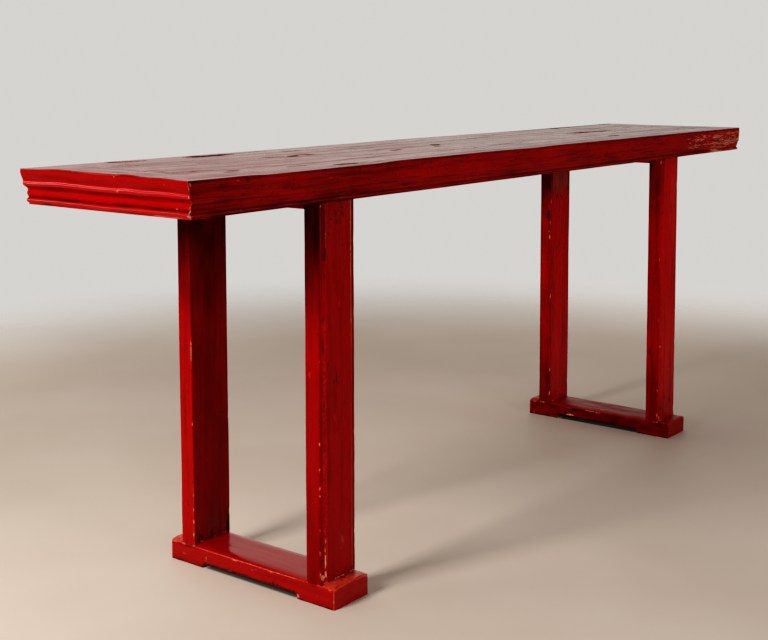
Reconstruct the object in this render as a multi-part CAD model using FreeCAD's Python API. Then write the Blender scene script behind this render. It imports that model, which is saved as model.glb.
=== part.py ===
import FreeCAD, Part
import os
from FreeCAD import Vector as V

# Red lacquered altar table. Millimetres, +Z up, origin on the floor under the centre of the table.
# X runs along the table, the show side faces -Y.

os.makedirs("parts", exist_ok=True)

# ---------------------------------------------------------------- driving dimensions
height = 850.0            # floor to top surface
length = 2280.0           # over the mouldings
depth = 442.0             # over the mouldings
rim = 66.0                # height of the moulded frame of the top
rail_w = 80.0             # width of the frame members, seen from above
board_t = 24.0            # thickness of the field boards
board_joint = 47.0        # the field boards meet at Y = -47 and Y = +47
arris = 1.5               # softened top edge of the frame

cut_left_end = 10.5       # deepest point of the moulding, in from the outer face, on each side
cut_right_end = 5.5
cut_front = 7.5
cut_back = 12.0

frame_x = 725.0           # centre of each end frame, left and right of the middle
leg_w = 106.0             # leg, along X
leg_t = 36.0              # leg, along Y, at its edges
leg_outer = 191.0         # outer face of the leg edges, from the table's centre line
field_fillet = 7.5        # flat strip at each edge of a leg's show face
field_bevel = 8.0         # sloping strip inside it
field_rise = 4.0          # how far the raised field stands out

foot_l = 448.0            # sled foot, along Y
foot_w = 106.0
foot_h = 44.0
foot_drop = 4.0           # the foot's top falls this much to its long edges
foot_flat = 33.0          # half width of the foot's flat top
foot_notch = 130.0        # the underside is raised between Y = -130 and Y = +130
foot_notch_h = 11.0
foot_corner = 4.0         # rounding of the foot's upright corners

bearer_bottom = 767.0     # underside of the bearers, below the frame of the top
batten_w = 44.0
batten_h = 36.0
batten_x = (-362.5, 0.0, 362.5)
dovetail_h = 7.0

tenon_t = 16.0            # thickness of the leg tenons
top_tenon_h = 38.0
tongue_t = 8.0
tongue_l = 8.5
groove_d = 9.0
peg_r = 4.0

z_rim = height - rim          # underside of the frame of the top
z_board = height - board_t    # underside of the field boards
in_y = depth / 2 - rail_w     # inner faces of the long rails
in_x = length / 2 - rail_w    # inner faces of the end rails
leg_mid = leg_outer - leg_t / 2.0


# ---------------------------------------------------------------- helpers
def box(x0, x1, y0, y1, z0, z1):
    return Part.makeBox(x1 - x0, y1 - y0, z1 - z0, V(x0, y0, z0))


def prism(points, direction):
    pts = [V(*p) for p in points]
    return Part.Face(Part.makePolygon(pts + [pts[0]])).extrude(V(*direction))


def one(shape):
    s = shape.removeSplitter()
    assert len(s.Solids) == 1 and s.isValid(), (len(s.Solids), s.isValid())
    return s.Solids[0]


# ---------------------------------------------------------------- the moulding
# Each profile is a run of (depth below the top surface, share of the full cut).
# The deep one: a falling fascia, a soft round, a cove and a step, a quirk, and a bead below.
deep_run = [(1.5, 0.0), (6.0, 0.02), (14.0, 0.19), (20.0, 0.33), (24.0, 0.355), (27.0, 0.32),
            (30.0, 0.35), (33.0, 0.46), (37.0, 0.66), (41.0, 0.79), (44.5, 0.83), (49.0, 0.89),
            (54.0, 1.0)]
deep_bead = [(54.0, 1.0), (60.5, 0.74), (66.0, 0.92)]
# The shallow one: an almost flat fascia, a worn step, a band with a scratched line, a quirk, a thin bead.
flat_run = [(1.5, 0.0), (8.0, 0.01), (22.0, 0.09), (34.0, 0.15), (39.5, 0.18)]
flat_step = [(39.5, 0.18), (43.0, 0.50)]
flat_band = [(43.0, 0.50), (50.0, 0.62), (58.5, 1.0)]
flat_bead = [(58.5, 1.0), (61.5, 0.52), (66.0, 0.66)]


def spline(points, place):
    c = Part.BSplineCurve()
    c.interpolate([place(t, z) for t, z in points])
    return c.toShape()


def side_edges(kind, cut, place):
    """Edges of one moulded side from the top surface down. place maps (inset, z) to a point."""
    def p(run):
        return [(share * cut, height - d) for d, share in run]
    edges = []
    a = arris
    edges.append(Part.Arc(place(a, height), place(a * 0.293, height - a * 0.293), place(0, height - a)).toShape())
    if kind == "deep":
        edges.append(spline(p(deep_run), place))
        q = p(deep_bead)
        edges.append(Part.Arc(place(*q[0]), place(*q[1]), place(*q[2])).toShape())
        end = q[2]
    else:
        edges.append(spline(p(flat_run), place))
        q = p(flat_step)
        edges.append(Part.LineSegment(place(*q[0]), place(*q[1])).toShape())
        q = p(flat_band)
        edges.append(Part.LineSegment(place(*q[0]), place(*q[1])).toShape())
        edges.append(Part.LineSegment(place(*q[1]), place(*q[2])).toShape())
        q = p(flat_bead)
        edges.append(Part.Arc(place(*q[0]), place(*q[1]), place(*q[2])).toShape())
        end = q[2]
    return edges, place(a, height), place(*end)


def section(kind_a, cut_a, place_a, kind_b, cut_b, place_b):
    ea, ta, ba = side_edges(kind_a, cut_a, place_a)
    eb, tb, bb = side_edges(kind_b, cut_b, place_b)
    edges = ea + [Part.LineSegment(ba, bb).toShape()] + eb + [Part.LineSegment(tb, ta).toShape()]
    return Part.Face(Part.Wire(Part.__sortEdges__(edges)))


hx, hy = length / 2, depth / 2
along_x = section("flat", cut_front, lambda t, z: V(-hx - 50, -hy + t, z),
                  "deep", cut_back, lambda t, z: V(-hx - 50, hy - t, z)).extrude(V(length + 100, 0, 0))
along_y = section("deep", cut_left_end, lambda t, z: V(-hx + t, -hy - 50, z),
                  "flat", cut_right_end, lambda t, z: V(hx - t, -hy - 50, z)).extrude(V(0, depth + 100, 0))
top_block = along_x.common(along_y)

# ---------------------------------------------------------------- frame of the top
z0, z1 = z_rim - 5, height + 5
mitre = {
    "front_rail": [(-hx - 9, -hy - 9), (hx + 9, -hy - 9), (in_x, -in_y), (-in_x, -in_y)],
    "back_rail": [(-in_x, in_y), (in_x, in_y), (hx + 9, hy + 9), (-hx - 9, hy + 9)],
    "left_end_rail": [(-hx - 9, -hy - 9), (-in_x, -in_y), (-in_x, in_y), (-hx - 9, hy + 9)],
    "right_end_rail": [(in_x, -in_y), (hx + 9, -hy - 9), (hx + 9, hy + 9), (in_x, in_y)],
}
rail = {}
for name, plan in mitre.items():
    rail[name] = top_block.common(prism([(x, y, z0) for x, y in plan], (0, 0, z1 - z0)))

# groove round the inside for the field's tongue
zt0, zt1 = height - 18.0, height - 10.0
groove = box(-in_x - groove_d, in_x + groove_d, -in_y - groove_d, in_y + groove_d, zt0, zt1)
for name in rail:
    rail[name] = rail[name].cut(groove)

# tenons at the mitres, on the long rails, blind in the end rails
tz0, tz1 = z_rim + 18.0, z_rim + 34.0
tenon_out, tenon_y0, tenon_y1 = hx - 22.0, hy - 62.0, hy - 33.0
for sx in (-1, 1):
    for sy in (-1, 1):
        xs = sorted((sx * tenon_out, sx * (in_x - 5)))
        ys = sorted((sy * tenon_y0, sy * tenon_y1))
        blank = box(xs[0], xs[1], ys[0], ys[1], tz0, tz1)
        end = "left_end_rail" if sx < 0 else "right_end_rail"
        side = "front_rail" if sy < 0 else "back_rail"
        tenon = blank.common(prism([(x, y, z0) for x, y in mitre[end]], (0, 0, z1 - z0)))
        room = tenon.fuse(tenon.translated(V(sx * 1.0, 0, 0)))   # 1 mm free beyond the tenon's end
        rail[end] = rail[end].cut(room)
        rail[side] = rail[side].fuse(tenon)

# pegs through those tenons, driven from below
pegs = []
for sx in (-1, 1):
    for sy in (-1, 1):
        x, y = sx * (hx - 36.0), sy * (hy - 48.0)
        hole = Part.makeCylinder(peg_r, 42.0, V(x, y, z_rim))
        end = "left_end_rail" if sx < 0 else "right_end_rail"
        side = "front_rail" if sy < 0 else "back_rail"
        rail[end] = rail[end].cut(hole)
        rail[side] = rail[side].cut(hole)
        peg = Part.makeCylinder(peg_r, 41.0, V(x, y, z_rim + 0.5))
        pegs.append(peg)

# ---------------------------------------------------------------- field boards
field = box(-in_x, in_x, -in_y, in_y, z_board, height)
field = field.fuse(box(-in_x - tongue_l, in_x + tongue_l, -in_y - tongue_l, in_y + tongue_l, zt0, zt1))
field = field.removeSplitter()
jz0, jz1 = height - 16.0, height - 8.0        # tongues between the boards
far = length
middle = field.common(box(-far, far, -board_joint, board_joint, z_board, height))
front = field.common(box(-far, far, -far, -board_joint, z_board, height))
back = field.common(box(-far, far, board_joint, far, z_board, height))
joint_x = in_x
for s in (-1, 1):
    ys = sorted((s * board_joint, s * (board_joint + 8.0)))
    tongue = box(-joint_x, joint_x, ys[0], ys[1], jz0, jz1)
    ys = sorted((s * board_joint, s * (board_joint + 8.5)))
    room = box(-joint_x, joint_x, ys[0], ys[1], jz0, jz1)
    middle = middle.fuse(tongue)
    if s < 0:
        front = front.cut(room)
    else:
        back = back.cut(room)


# ---------------------------------------------------------------- battens and bearers
def dovetail(x, half_low, half_high):
    pts = [(x - half_low, -in_y, z_board), (x + half_low, -in_y, z_board),
           (x + half_high, -in_y, z_board + dovetail_h), (x - half_high, -in_y, z_board + dovetail_h)]
    return prism(pts, (0, 2 * in_y, 0))


battens = []
for x in batten_x:
    b = box(x - batten_w / 2, x + batten_w / 2, -in_y, in_y, z_board - batten_h, z_board)
    d = dovetail(x, 12.0, 15.0)
    t = box(x - 13, x + 13, -in_y - 16, in_y + 16, z_board - 28, z_board - 12)
    battens.append(b.fuse(d).fuse(t))
    for name in ("front_rail", "back_rail"):
        rail[name] = rail[name].cut(t)
    middle, front, back = middle.cut(d), front.cut(d), back.cut(d)

bearers = []
for s in (-1, 1):
    x = s * frame_x
    b = box(x - leg_w / 2, x + leg_w / 2, -in_y, in_y, z_rim, z_board)
    low = box(x - leg_w / 2, x + leg_w / 2, -(leg_outer - leg_t), leg_outer - leg_t, bearer_bottom, z_rim)
    d = dovetail(x, 20.0, 23.0)
    t = box(x - 22, x + 22, -in_y - 16, in_y + 16, z_rim + 12, z_rim + 30)
    bearers.append(b.fuse(low).fuse(d).fuse(t))
    for name in ("front_rail", "back_rail"):
        rail[name] = rail[name].cut(t)
    middle, front, back = middle.cut(d), front.cut(d), back.cut(d)


# ---------------------------------------------------------------- feet
def foot_blank(x):
    w, f = foot_w / 2, foot_flat
    drop = foot_drop
    r = ((w - f) ** 2 + drop ** 2) / (2 * drop)
    mid = (w + f) / 2
    zm = foot_h - r + (r * r - (mid - f) ** 2) ** 0.5
    ze = foot_h - drop
    y = -foot_l / 2
    e = [Part.LineSegment(V(x - w, y, 0), V(x + w, y, 0)).toShape(),
         Part.LineSegment(V(x + w, y, 0), V(x + w, y, ze)).toShape(),
         Part.Arc(V(x + w, y, ze), V(x + mid, y, zm), V(x + f, y, foot_h)).toShape(),
         Part.LineSegment(V(x + f, y, foot_h), V(x - f, y, foot_h)).toShape(),
         Part.Arc(V(x - f, y, foot_h), V(x - mid, y, zm), V(x - w, y, ze)).toShape(),
         Part.LineSegment(V(x - w, y, ze), V(x - w, y, 0)).toShape()]
    solid = Part.Face(Part.Wire(e)).extrude(V(0, foot_l, 0))
    plan = box(x - w, x + w, -foot_l / 2, foot_l / 2, -1, foot_h + 1)
    upright = [k for k in plan.Edges if abs(k.Vertexes[0].Z - k.Vertexes[1].Z) > 10]
    solid = solid.common(plan.makeFillet(foot_corner, upright))
    n, h, q = foot_notch, foot_notch_h, 9.0
    k = q * 0.7071
    low = -5.0
    pe = [Part.LineSegment(V(x - 99, -n, low), V(x - 99, -n, h - q)).toShape(),
          Part.Arc(V(x - 99, -n, h - q), V(x - 99, -n + q - k, h - q + k), V(x - 99, -n + q, h)).toShape(),
          Part.LineSegment(V(x - 99, -n + q, h), V(x - 99, n - q, h)).toShape(),
          Part.Arc(V(x - 99, n - q, h), V(x - 99, n - q + k, h - q + k), V(x - 99, n, h - q)).toShape(),
          Part.LineSegment(V(x - 99, n, h - q), V(x - 99, n, low)).toShape(),
          Part.LineSegment(V(x - 99, n, low), V(x - 99, -n, low)).toShape()]
    notch = Part.Face(Part.Wire(pe)).extrude(V(198, 0, 0))
    return solid.cut(notch)


# ---------------------------------------------------------------- legs
legs, feet, wedges = {}, {}, []
foot_tenon = 36.0          # half width of the through tenon, along X
wedge_x = 20.0
for side, sx in (("left", -1), ("right", 1)):
    x = sx * frame_x
    blank = foot_blank(x)
    foot = blank
    for end, sy in (("front", -1), ("back", 1)):
        ys = sorted((sy * (leg_outer - leg_t), sy * leg_outer))
        leg = box(x - leg_w / 2, x + leg_w / 2, ys[0], ys[1], foot_h - foot_drop, z_rim)
        a = leg_w / 2 - field_fillet
        b = a - field_bevel
        yo, yf = sy * leg_outer, sy * (leg_outer + field_rise)
        raised = prism([(x - a, yo, foot_h - foot_drop), (x + a, yo, foot_h - foot_drop),
                        (x + b, yf, foot_h - foot_drop), (x - b, yf, foot_h - foot_drop)],
                       (0, 0, z_rim - foot_h + foot_drop))
        leg = leg.fuse(raised).cut(blank)          # the shoulder is scribed over the crowned foot
        ty = sorted((sy * (leg_mid - tenon_t / 2), sy * (leg_mid + tenon_t / 2)))
        for t0, t1 in ((-40.0, -10.0), (10.0, 40.0)):
            leg = leg.fuse(box(x + t0, x + t1, ty[0], ty[1], z_rim - 2, z_rim + top_tenon_h))
            room = box(x + t0, x + t1, ty[0], ty[1], z_rim, z_rim + top_tenon_h + 1)
            name = "front_rail" if sy < 0 else "back_rail"
            rail[name] = rail[name].cut(room)
        tenon = box(x - foot_tenon, x + foot_tenon, ty[0], ty[1], 2.0, foot_h)
        for w in (-wedge_x, wedge_x):
            pts = [(x + w - 2.0, ty[0], 2.0), (x + w + 2.0, ty[0], 2.0),
                   (x + w + 0.5, ty[0], 30.0), (x + w - 0.5, ty[0], 30.0)]
            wedge = prism(pts, (0, ty[1] - ty[0], 0))
            wedges.append(wedge)
            tenon = tenon.cut(wedge).cut(box(x + w - 0.5, x + w + 0.5, ty[0], ty[1], 30.0, 34.0))
        leg = leg.fuse(tenon)
        foot = foot.cut(box(x - foot_tenon, x + foot_tenon, ty[0], ty[1], -1.0, foot_h + 1))
        legs[end + "_" + side + "_leg"] = leg
    feet[side + "_foot"] = foot

# ---------------------------------------------------------------- write the pieces
pieces = {}
for name, shape in rail.items():
    pieces[name] = one(shape)
pieces["top_board_front"] = one(front)
pieces["top_board_middle"] = one(middle)
pieces["top_board_back"] = one(back)
for name, shape in zip(("left_batten", "centre_batten", "right_batten"), battens):
    pieces[name] = one(shape)
for name, shape in zip(("left_bearer", "right_bearer"), bearers):
    pieces[name] = one(shape)
for name, shape in legs.items():
    pieces[name] = one(shape)
for name, shape in feet.items():
    pieces[name] = one(shape)
pieces["foot_tenon_wedges"] = Part.makeCompound(wedges)
pieces["corner_pegs"] = Part.makeCompound(pegs)

for name, shape in pieces.items():
    shape.exportStep("parts/" + name + ".step")
    b = shape.BoundBox
    print("%-20s %9.0f mm3  solids %d  X %.1f..%.1f  Y %.1f..%.1f  Z %.1f..%.1f" % (
        name, shape.Volume, len(shape.Solids), b.XMin, b.XMax, b.YMin, b.YMax, b.ZMin, b.ZMax))
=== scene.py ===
import bpy
import math
import numpy as np
from mathutils import Matrix, Vector


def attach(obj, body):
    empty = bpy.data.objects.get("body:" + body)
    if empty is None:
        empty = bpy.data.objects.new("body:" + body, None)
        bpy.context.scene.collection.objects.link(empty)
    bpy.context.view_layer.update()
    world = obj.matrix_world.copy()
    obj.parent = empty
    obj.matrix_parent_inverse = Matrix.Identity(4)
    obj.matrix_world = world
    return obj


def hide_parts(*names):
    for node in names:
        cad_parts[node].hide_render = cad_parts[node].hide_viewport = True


# Red lacquered altar table. Lengths below are millimetres until a mesh is made, then metres.
# +X runs along the table, the show side faces -Y, the floor is Z = 0.

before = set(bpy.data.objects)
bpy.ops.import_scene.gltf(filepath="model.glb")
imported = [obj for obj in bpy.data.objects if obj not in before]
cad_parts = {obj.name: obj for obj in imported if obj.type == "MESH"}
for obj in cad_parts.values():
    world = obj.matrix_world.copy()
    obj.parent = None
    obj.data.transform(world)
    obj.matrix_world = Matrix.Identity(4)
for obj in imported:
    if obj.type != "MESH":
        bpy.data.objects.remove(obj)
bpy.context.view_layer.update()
COARSE = 1.0
scene = bpy.context.scene

# ---------------------------------------------------------------- sizes of the table
HX, HY, H = 1140.0, 221.0, 850.0        # half length, half depth, height
RIM, RAIL_W, ARRIS = 66.0, 80.0, 1.5
IN_X, IN_Y = HX - RAIL_W, HY - RAIL_W
CUT = {"front": ("flat", 7.5), "right": ("flat", 5.5), "left": ("deep", 10.5), "back": ("deep", 12.0)}
FRAME_X = 725.0
LEG_W, LEG_T, LEG_OUT = 106.0, 36.0, 191.0
FILLET, BEVEL, RISE = 7.5, 8.0, 4.0
FOOT_L, FOOT_W, FOOT_H, FOOT_DROP, FOOT_FLAT = 448.0, 106.0, 44.0, 4.0, 33.0
NOTCH, NOTCH_H, NOTCH_R, FOOT_R = 130.0, 11.0, 9.0, 4.0
JOINT_Y = 47.0


# ---------------------------------------------------------------- smooth noise
def _hash(ix, iy, iz, seed):
    h = (ix.astype(np.uint32) * np.uint32(374761393) + iy.astype(np.uint32) * np.uint32(668265263)
         + iz.astype(np.uint32) * np.uint32(2246822519) + np.uint32((seed * 974711 + 12345) & 0xffffffff))
    h = (h ^ (h >> np.uint32(13))) * np.uint32(1274126177)
    h = (h ^ (h >> np.uint32(15))) * np.uint32(2654435761)
    h = h ^ (h >> np.uint32(16))
    return h.astype(np.float64) / 2147483648.0 - 1.0


def noise(x, y, z, seed):
    x, y, z = np.broadcast_arrays(np.asarray(x, float), np.asarray(y, float), np.asarray(z, float))
    fx, fy, fz = np.floor(x), np.floor(y), np.floor(z)
    u, v, w = x - fx, y - fy, z - fz
    u, v, w = (t * t * t * (t * (t * 6 - 15) + 10) for t in (u, v, w))
    ix, iy, iz = fx.astype(np.int64), fy.astype(np.int64), fz.astype(np.int64)
    out = 0.0
    for a in (0, 1):
        for b in (0, 1):
            for c in (0, 1):
                k = (u if a else 1 - u) * (v if b else 1 - v) * (w if c else 1 - w)
                out = out + k * _hash((ix + a) & 0xffffffff, (iy + b) & 0xffffffff, (iz + c) & 0xffffffff, seed)
    return out


def fbm(x, y, z, seed, octaves=3, gain=0.5):
    out, amp = 0.0, 1.0
    for k in range(octaves):
        s = 2.03 ** k
        out = out + amp * noise(np.asarray(x) * s + 17.3 * k, np.asarray(y) * s - 9.1 * k, np.asarray(z) * s + 4.7 * k, seed + 31 * k)
        amp *= gain
    return out


def smooth(a, b, x):
    t = np.clip((np.asarray(x, float) - a) / (b - a), 0, 1)
    return t * t * (3 - 2 * t)


def bump1(x, centre, half):
    return np.exp(-((np.asarray(x, float) - centre) / half) ** 2)


# ---------------------------------------------------------------- the whole table's hand-made unevenness
def slow_field(P):
    """Long waves of hand-planed timber. It is the same field for every piece, so the joints stay closed."""
    x, y, z = P[..., 0], P[..., 1], P[..., 2]
    free = smooth(2, 70, z)
    D = np.zeros_like(P)
    D[..., 0] = free * (0.45 * fbm(x / 260, y / 210, z / 260, 11, 2) + 0.07 * noise(x / 85, y / 75, z / 90, 12))
    D[..., 1] = free * (0.50 * fbm(x / 240, y / 230, z / 250, 21, 2) + 0.10 * noise(x / 90, y / 85, z / 90, 22))
    D[..., 2] = free * (0.25 * noise(x / 240, y / 150, z / 210, 31))
    top = smooth(792, 846, z)
    # the near end's top edge stands a little high between its corners, and the front top edge is worn low in places
    crown = (3.4 * bump1(y, 110, 55) + 2.3 * bump1(y, 5, 60) + 3.0 * bump1(y, -75, 30) + 1.8 * bump1(y, -150, 38))
    crown = np.minimum(crown, 3.7) * (1 - smooth(150, 430, x + HX)) * (1 - smooth(180, 219, np.abs(y)))
    near = smooth(-60, -216, y)
    sag = -2.1 * smooth(-1010, -930, x) * (1 - smooth(-640, -560, x)) * near
    sag = sag - 1.0 * bump1(x, -40, 60) * near
    wave = 0.55 * fbm(x / 330, y / 95, 0, 41, 2) + 0.22 * noise(x / 130, y / 33, 0, 43)
    # each board is very slightly hollow across its width
    span = np.where(np.abs(y) < JOINT_Y, y / JOINT_Y, (np.abs(y) - 94) / JOINT_Y)
    hollow = -0.55 * (1 - np.clip(span, -1, 1) ** 2) * (np.abs(y) < IN_Y) * (np.abs(x) < IN_X)
    D[..., 2] += top * (crown + sag + wave + hollow * smooth(0, 60, IN_X - np.abs(x)))
    return D


# Gouges, checks and worn spots on the top: x, y, half length, half width, turn in degrees, depth, darkness
TOP_MARKS = [
    (-725, 194, 26, 5.5, 2, 2.2, 1.0), (-664, 186, 40, 7.0, -2, 2.6, 1.0), (-548, 46, 24, 5.0, -20, 1.8, 1.0),
    (-940, -130, 16, 4.0, 6, 1.2, 0.9), (-650, 42, 34, 3.4, -4, 0.9, 0.8), (-143, -13, 12, 4.5, 0, 1.0, 0.9), (800, 92, 34, 6.0, -6, 0.6, 0.62),
    (-926, 193, 26, 8.0, -12, 2.6, 1.0), (-888, 183, 22, 6.0, 8, 1.6, 0.9), (-905, 178, 30, 3.0, 6, 0.7, 0.5),
    (-700, 175, 44, 6.0, -4, 2.4, 1.0), (-668, 181, 30, 4.5, 3, 1.5, 0.9), (-632, 184, 50, 2.2, 7, 1.0, 0.8),
    (-560, 192, 60, 1.8, 6, 0.8, 0.7), (-592, 37, 15, 5.5, 10, 1.5, 0.9), (-612, 14, 44, 2.5, -12, 0.6, 0.55),
    (-968, -154, 20, 5.5, 6, 0.8, 0.7), (-681, -181, 30, 5.5, -2, 1.0, 0.9), (-636, -186, 26, 2.4, 3, 0.5, 0.6),
    (-101, 23, 17, 6.5, 12, 1.2, 1.0), (-58, 18, 30, 3.0, 0, 0.4, 0.5), (757, 201, 19, 8.0, 0, 3.6, 1.0), (832, 203, 46, 5.0, 0, 2.2, 0.95),
    (905, 206, 26, 3.0, -2, 0.8, 0.6), (1085, 204, 38, 5.5, 0, 2.0, 0.72), (612, 27, 60, 11.0, 1, 1.5, 0.70),
    (704, 22, 62, 7.5, -1, 1.2, 0.72), (560, 31, 34, 3.4, 2, 0.5, 0.6), (507, -130, 26, 8.0, 4, 1.1, 0.84),
    (560, -122, 38, 3.0, 2, 0.5, 0.5), (-842, 38, 26, 3.0, 4, 0.5, 0.5), (-1005, 98, 24, 3.0, -5, 0.6, 0.55),
    (-1048, -35, 22, 4.0, 0, 0.5, 0.5), (-846, -96, 40, 2.6, 5, 0.5, 0.55), (-772, -142, 46, 3.2, 3, 0.6, 0.6),
    (-420, -60, 60, 2.6, 2, 0.5, 0.5), (-330, 92, 70, 3.0, 3, 0.6, 0.5), (-250, 128, 44, 3.4, 0, 0.6, 0.6),
    (-180, -150, 50, 4.0, 2, 0.5, 0.5), (30, -96, 80, 4.2, 1, 0.6, 0.6), (150, -60, 60, 3.0, 2, 0.5, 0.5),
    (230, 110, 90, 3.0, 2, 0.6, 0.6), (330, 150, 60, 3.6, 0, 0.7, 0.7), (400, 10, 70, 2.6, 3, 0.5, 0.5),
    (-60, 176, 60, 3.0, 2, 0.6, 0.6), (120, 190, 50, 2.6, 0, 0.6, 0.6), (880, -60, 60, 3.4, 2, 0.5, 0.5),
    (960, 60, 44, 4.0, 5, 0.6, 0.6), (1010, -130, 30, 4.0, 0, 0.5, 0.6), (700, -170, 60, 3.0, 1, 0.4, 0.5),
    (-520, -118, 36, 3.0, 4, 0.5, 0.6), (-470, 148, 40, 3.4, 3, 0.7, 0.7), (-310, -20, 24, 5.0, 9, 0.7, 0.8),
]
# Checks that follow the grain: points (x, y), half width, depth
TOP_CHECKS = [
    ([(-744, 169), (-700, 174), (-640, 183), (-580, 190), (-515, 198)], 1.3, 1.6),
    ([(530, 34), (600, 29), (680, 24), (760, 27), (840, 31)], 1.3, 1.3),
    ([(-660, 25), (-620, 17), (-580, 8), (-540, -2)], 1.2, 0.9),
    ([(770, 205), (830, 207), (900, 206)], 1.1, 1.2),
    ([(-275, -113), (-160, -117), (-40, -111), (100, -114)], 1.3, 0.8),
    ([(380, 150), (470, 154), (560, 151)], 1.2, 1.0),
    ([(-1058, 70), (-1000, 73), (-930, 71)], 1.3, 1.2),
    ([(-1058, -98), (-1010, -96), (-960, -99)], 1.2, 1.0),
    ([(1058, 22), (990, 25), (900, 22)], 1.3, 1.2),
    ([(1058, -104), (1000, -101), (930, -104)], 1.2, 1.0),
    ([(-380, 60), (-300, 62), (-190, 58)], 1.1, 0.7),
    ([(60, 96), (160, 93), (250, 95)], 1.1, 0.7),
]


def mark_field(a, b, marks, seed, stain=0.0):
    """Depth and darkness of elongated marks in a plane with coordinates a, b. Their outlines wander with a little noise."""
    depth, dark = np.zeros_like(a), np.zeros_like(a)
    for k, (x, y, hl, hw, turn, dep, dk) in enumerate(marks):
        near = (np.abs(a - x) < hl * 2.6 + 8) & (np.abs(b - y) < hl * 1.2 + hw * 2.6 + 8)
        if not near.any():
            continue
        A, B = a[near] - x, b[near] - y
        c, s = math.cos(math.radians(turn)), math.sin(math.radians(turn))
        p, q = (A * c + B * s) / hl, (-A * s + B * c) / hw
        r = p * p + q * q + 0.55 * fbm(A / 9, B / 4, k, seed + k, 2)
        m = 1 - smooth(0.55, 1.5, r)
        depth[near] = np.maximum(depth[near], dep * m)
        dark[near] = np.maximum(dark[near], dk * (1 - smooth(0.25 + stain, 1.25 + 2 * stain, r)))
    return depth, dark


def path_distance(a, b, pts):
    best = np.full(a.shape, 1e9)
    along = np.zeros(a.shape)
    total, run = sum(math.dist(p, q) for p, q in zip(pts, pts[1:])), 0.0
    for (x0, y0), (x1, y1) in zip(pts, pts[1:]):
        dx, dy = x1 - x0, y1 - y0
        L = math.hypot(dx, dy)
        t = np.clip(((a - x0) * dx + (b - y0) * dy) / (L * L), 0, 1)
        d = np.hypot(a - x0 - t * dx, b - y0 - t * dy)
        hit = d < best
        best = np.where(hit, d, best)
        along = np.where(hit, (run + t * L) / total, along)
        run += L
    return best, along


def top_relief(x, y):
    marks = [(mx, my, hl, hw * (1.6 if dk >= 0.9 else 1.25), turn, dep * (1.5 if dk >= 0.9 else 1.2 if dk > 0.7 else 0.8), dk if dk > 0.7 else dk * 0.8)
             for mx, my, hl, hw, turn, dep, dk in TOP_MARKS]
    depth, dark = mark_field(x, y, marks, 500, 0.35)
    for k, (pts, hw, dep) in enumerate(TOP_CHECKS):
        near = (x > min(p[0] for p in pts) - 10) & (x < max(p[0] for p in pts) + 10) & (y > min(p[1] for p in pts) - 14) & (y < max(p[1] for p in pts) + 14)
        if not near.any():
            continue
        X, Y = x[near], y[near] + 1.3 * noise(x[near] / 22, 0, k, 77)
        d, t = path_distance(X, Y, pts)
        w = hw * (0.55 + 0.45 * np.sin(np.pi * t)) * (0.8 + 0.5 * noise(X / 14, 0, k, 78))
        m = 1 - smooth(0.5 * w, 1.5 * w + 0.8, d)
        depth[near] = np.maximum(depth[near], dep * m)
        dark[near] = np.maximum(dark[near], 0.95 * m)
    return depth, dark


# ---------------------------------------------------------------- meshes from lofted sections
def loft_normals(P):
    A = np.empty_like(P)
    A[1:-1] = P[2:] - P[:-2]
    A[0], A[-1] = P[1] - P[0], P[-1] - P[-2]
    B = np.roll(P, -1, 1) - np.roll(P, 1, 1)
    N = np.cross(A, B)
    N /= np.maximum(np.linalg.norm(N, axis=-1, keepdims=True), 1e-9)
    return N


def close_ends(P, attrs, fills=(0.985, 0.93, 0.8, 0.62, 0.42, 0.22, 0.07)):
    """Adds shrinking rings at both ends, so that the end faces are part of the same skin."""
    c0, c1 = P[0].mean(0), P[-1].mean(0)
    head = np.stack([c0 + (P[0] - c0) * f for f in reversed(fills)])
    tail = np.stack([c1 + (P[-1] - c1) * f for f in fills])
    n = len(fills)
    out = {}
    for k, a in attrs.items():
        out[k] = np.concatenate([np.repeat(a[:1], n, 0), a, np.repeat(a[-1:], n, 0)])
    return np.concatenate([head, P, tail]), out, n


def pack_uv(P):
    """The skin as strips of the loft, laid side by side in one square."""
    ns, nr = P.shape[:2]
    du = np.linalg.norm(np.diff(P, axis=0), axis=-1)
    U = np.concatenate([[0], np.cumsum(np.maximum(np.percentile(du, 75, axis=1), 1e-4))])
    dv = np.linalg.norm(np.roll(P, -1, 1) - P, axis=-1)
    V = np.concatenate([[0], np.cumsum(np.maximum(np.percentile(dv, 75, axis=0), 1e-4))])
    gap = 5.0
    best = min(range(1, 9), key=lambda k: max(U[-1] / k, k * (V[-1] + gap)))
    cuts = [int(np.searchsorted(U, U[-1] * i / best)) for i in range(best)] + [ns - 1]
    part = np.zeros(ns - 1, int)
    for i in range(best):
        part[cuts[i]:cuts[i + 1]] = i
    S = max(max(U[cuts[i + 1]] - U[cuts[i]] for i in range(best)), best * (V[-1] + gap)) + gap
    base = np.array([U[cuts[i]] for i in range(best)])
    u0, u1 = U[:-1] - base[part], U[1:] - base[part]
    off = part * (V[-1] + gap)
    j0, j1 = V[:-1], V[1:]
    q = np.empty((ns - 1, nr, 4, 2))
    q[..., 0, 0] = q[..., 3, 0] = u0[:, None]
    q[..., 1, 0] = q[..., 2, 0] = u1[:, None]
    q[..., 0, 1] = q[..., 1, 1] = off[:, None] + j0[None]
    q[..., 2, 1] = q[..., 3, 1] = off[:, None] + j1[None]
    return (q + gap / 2) / S


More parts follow.
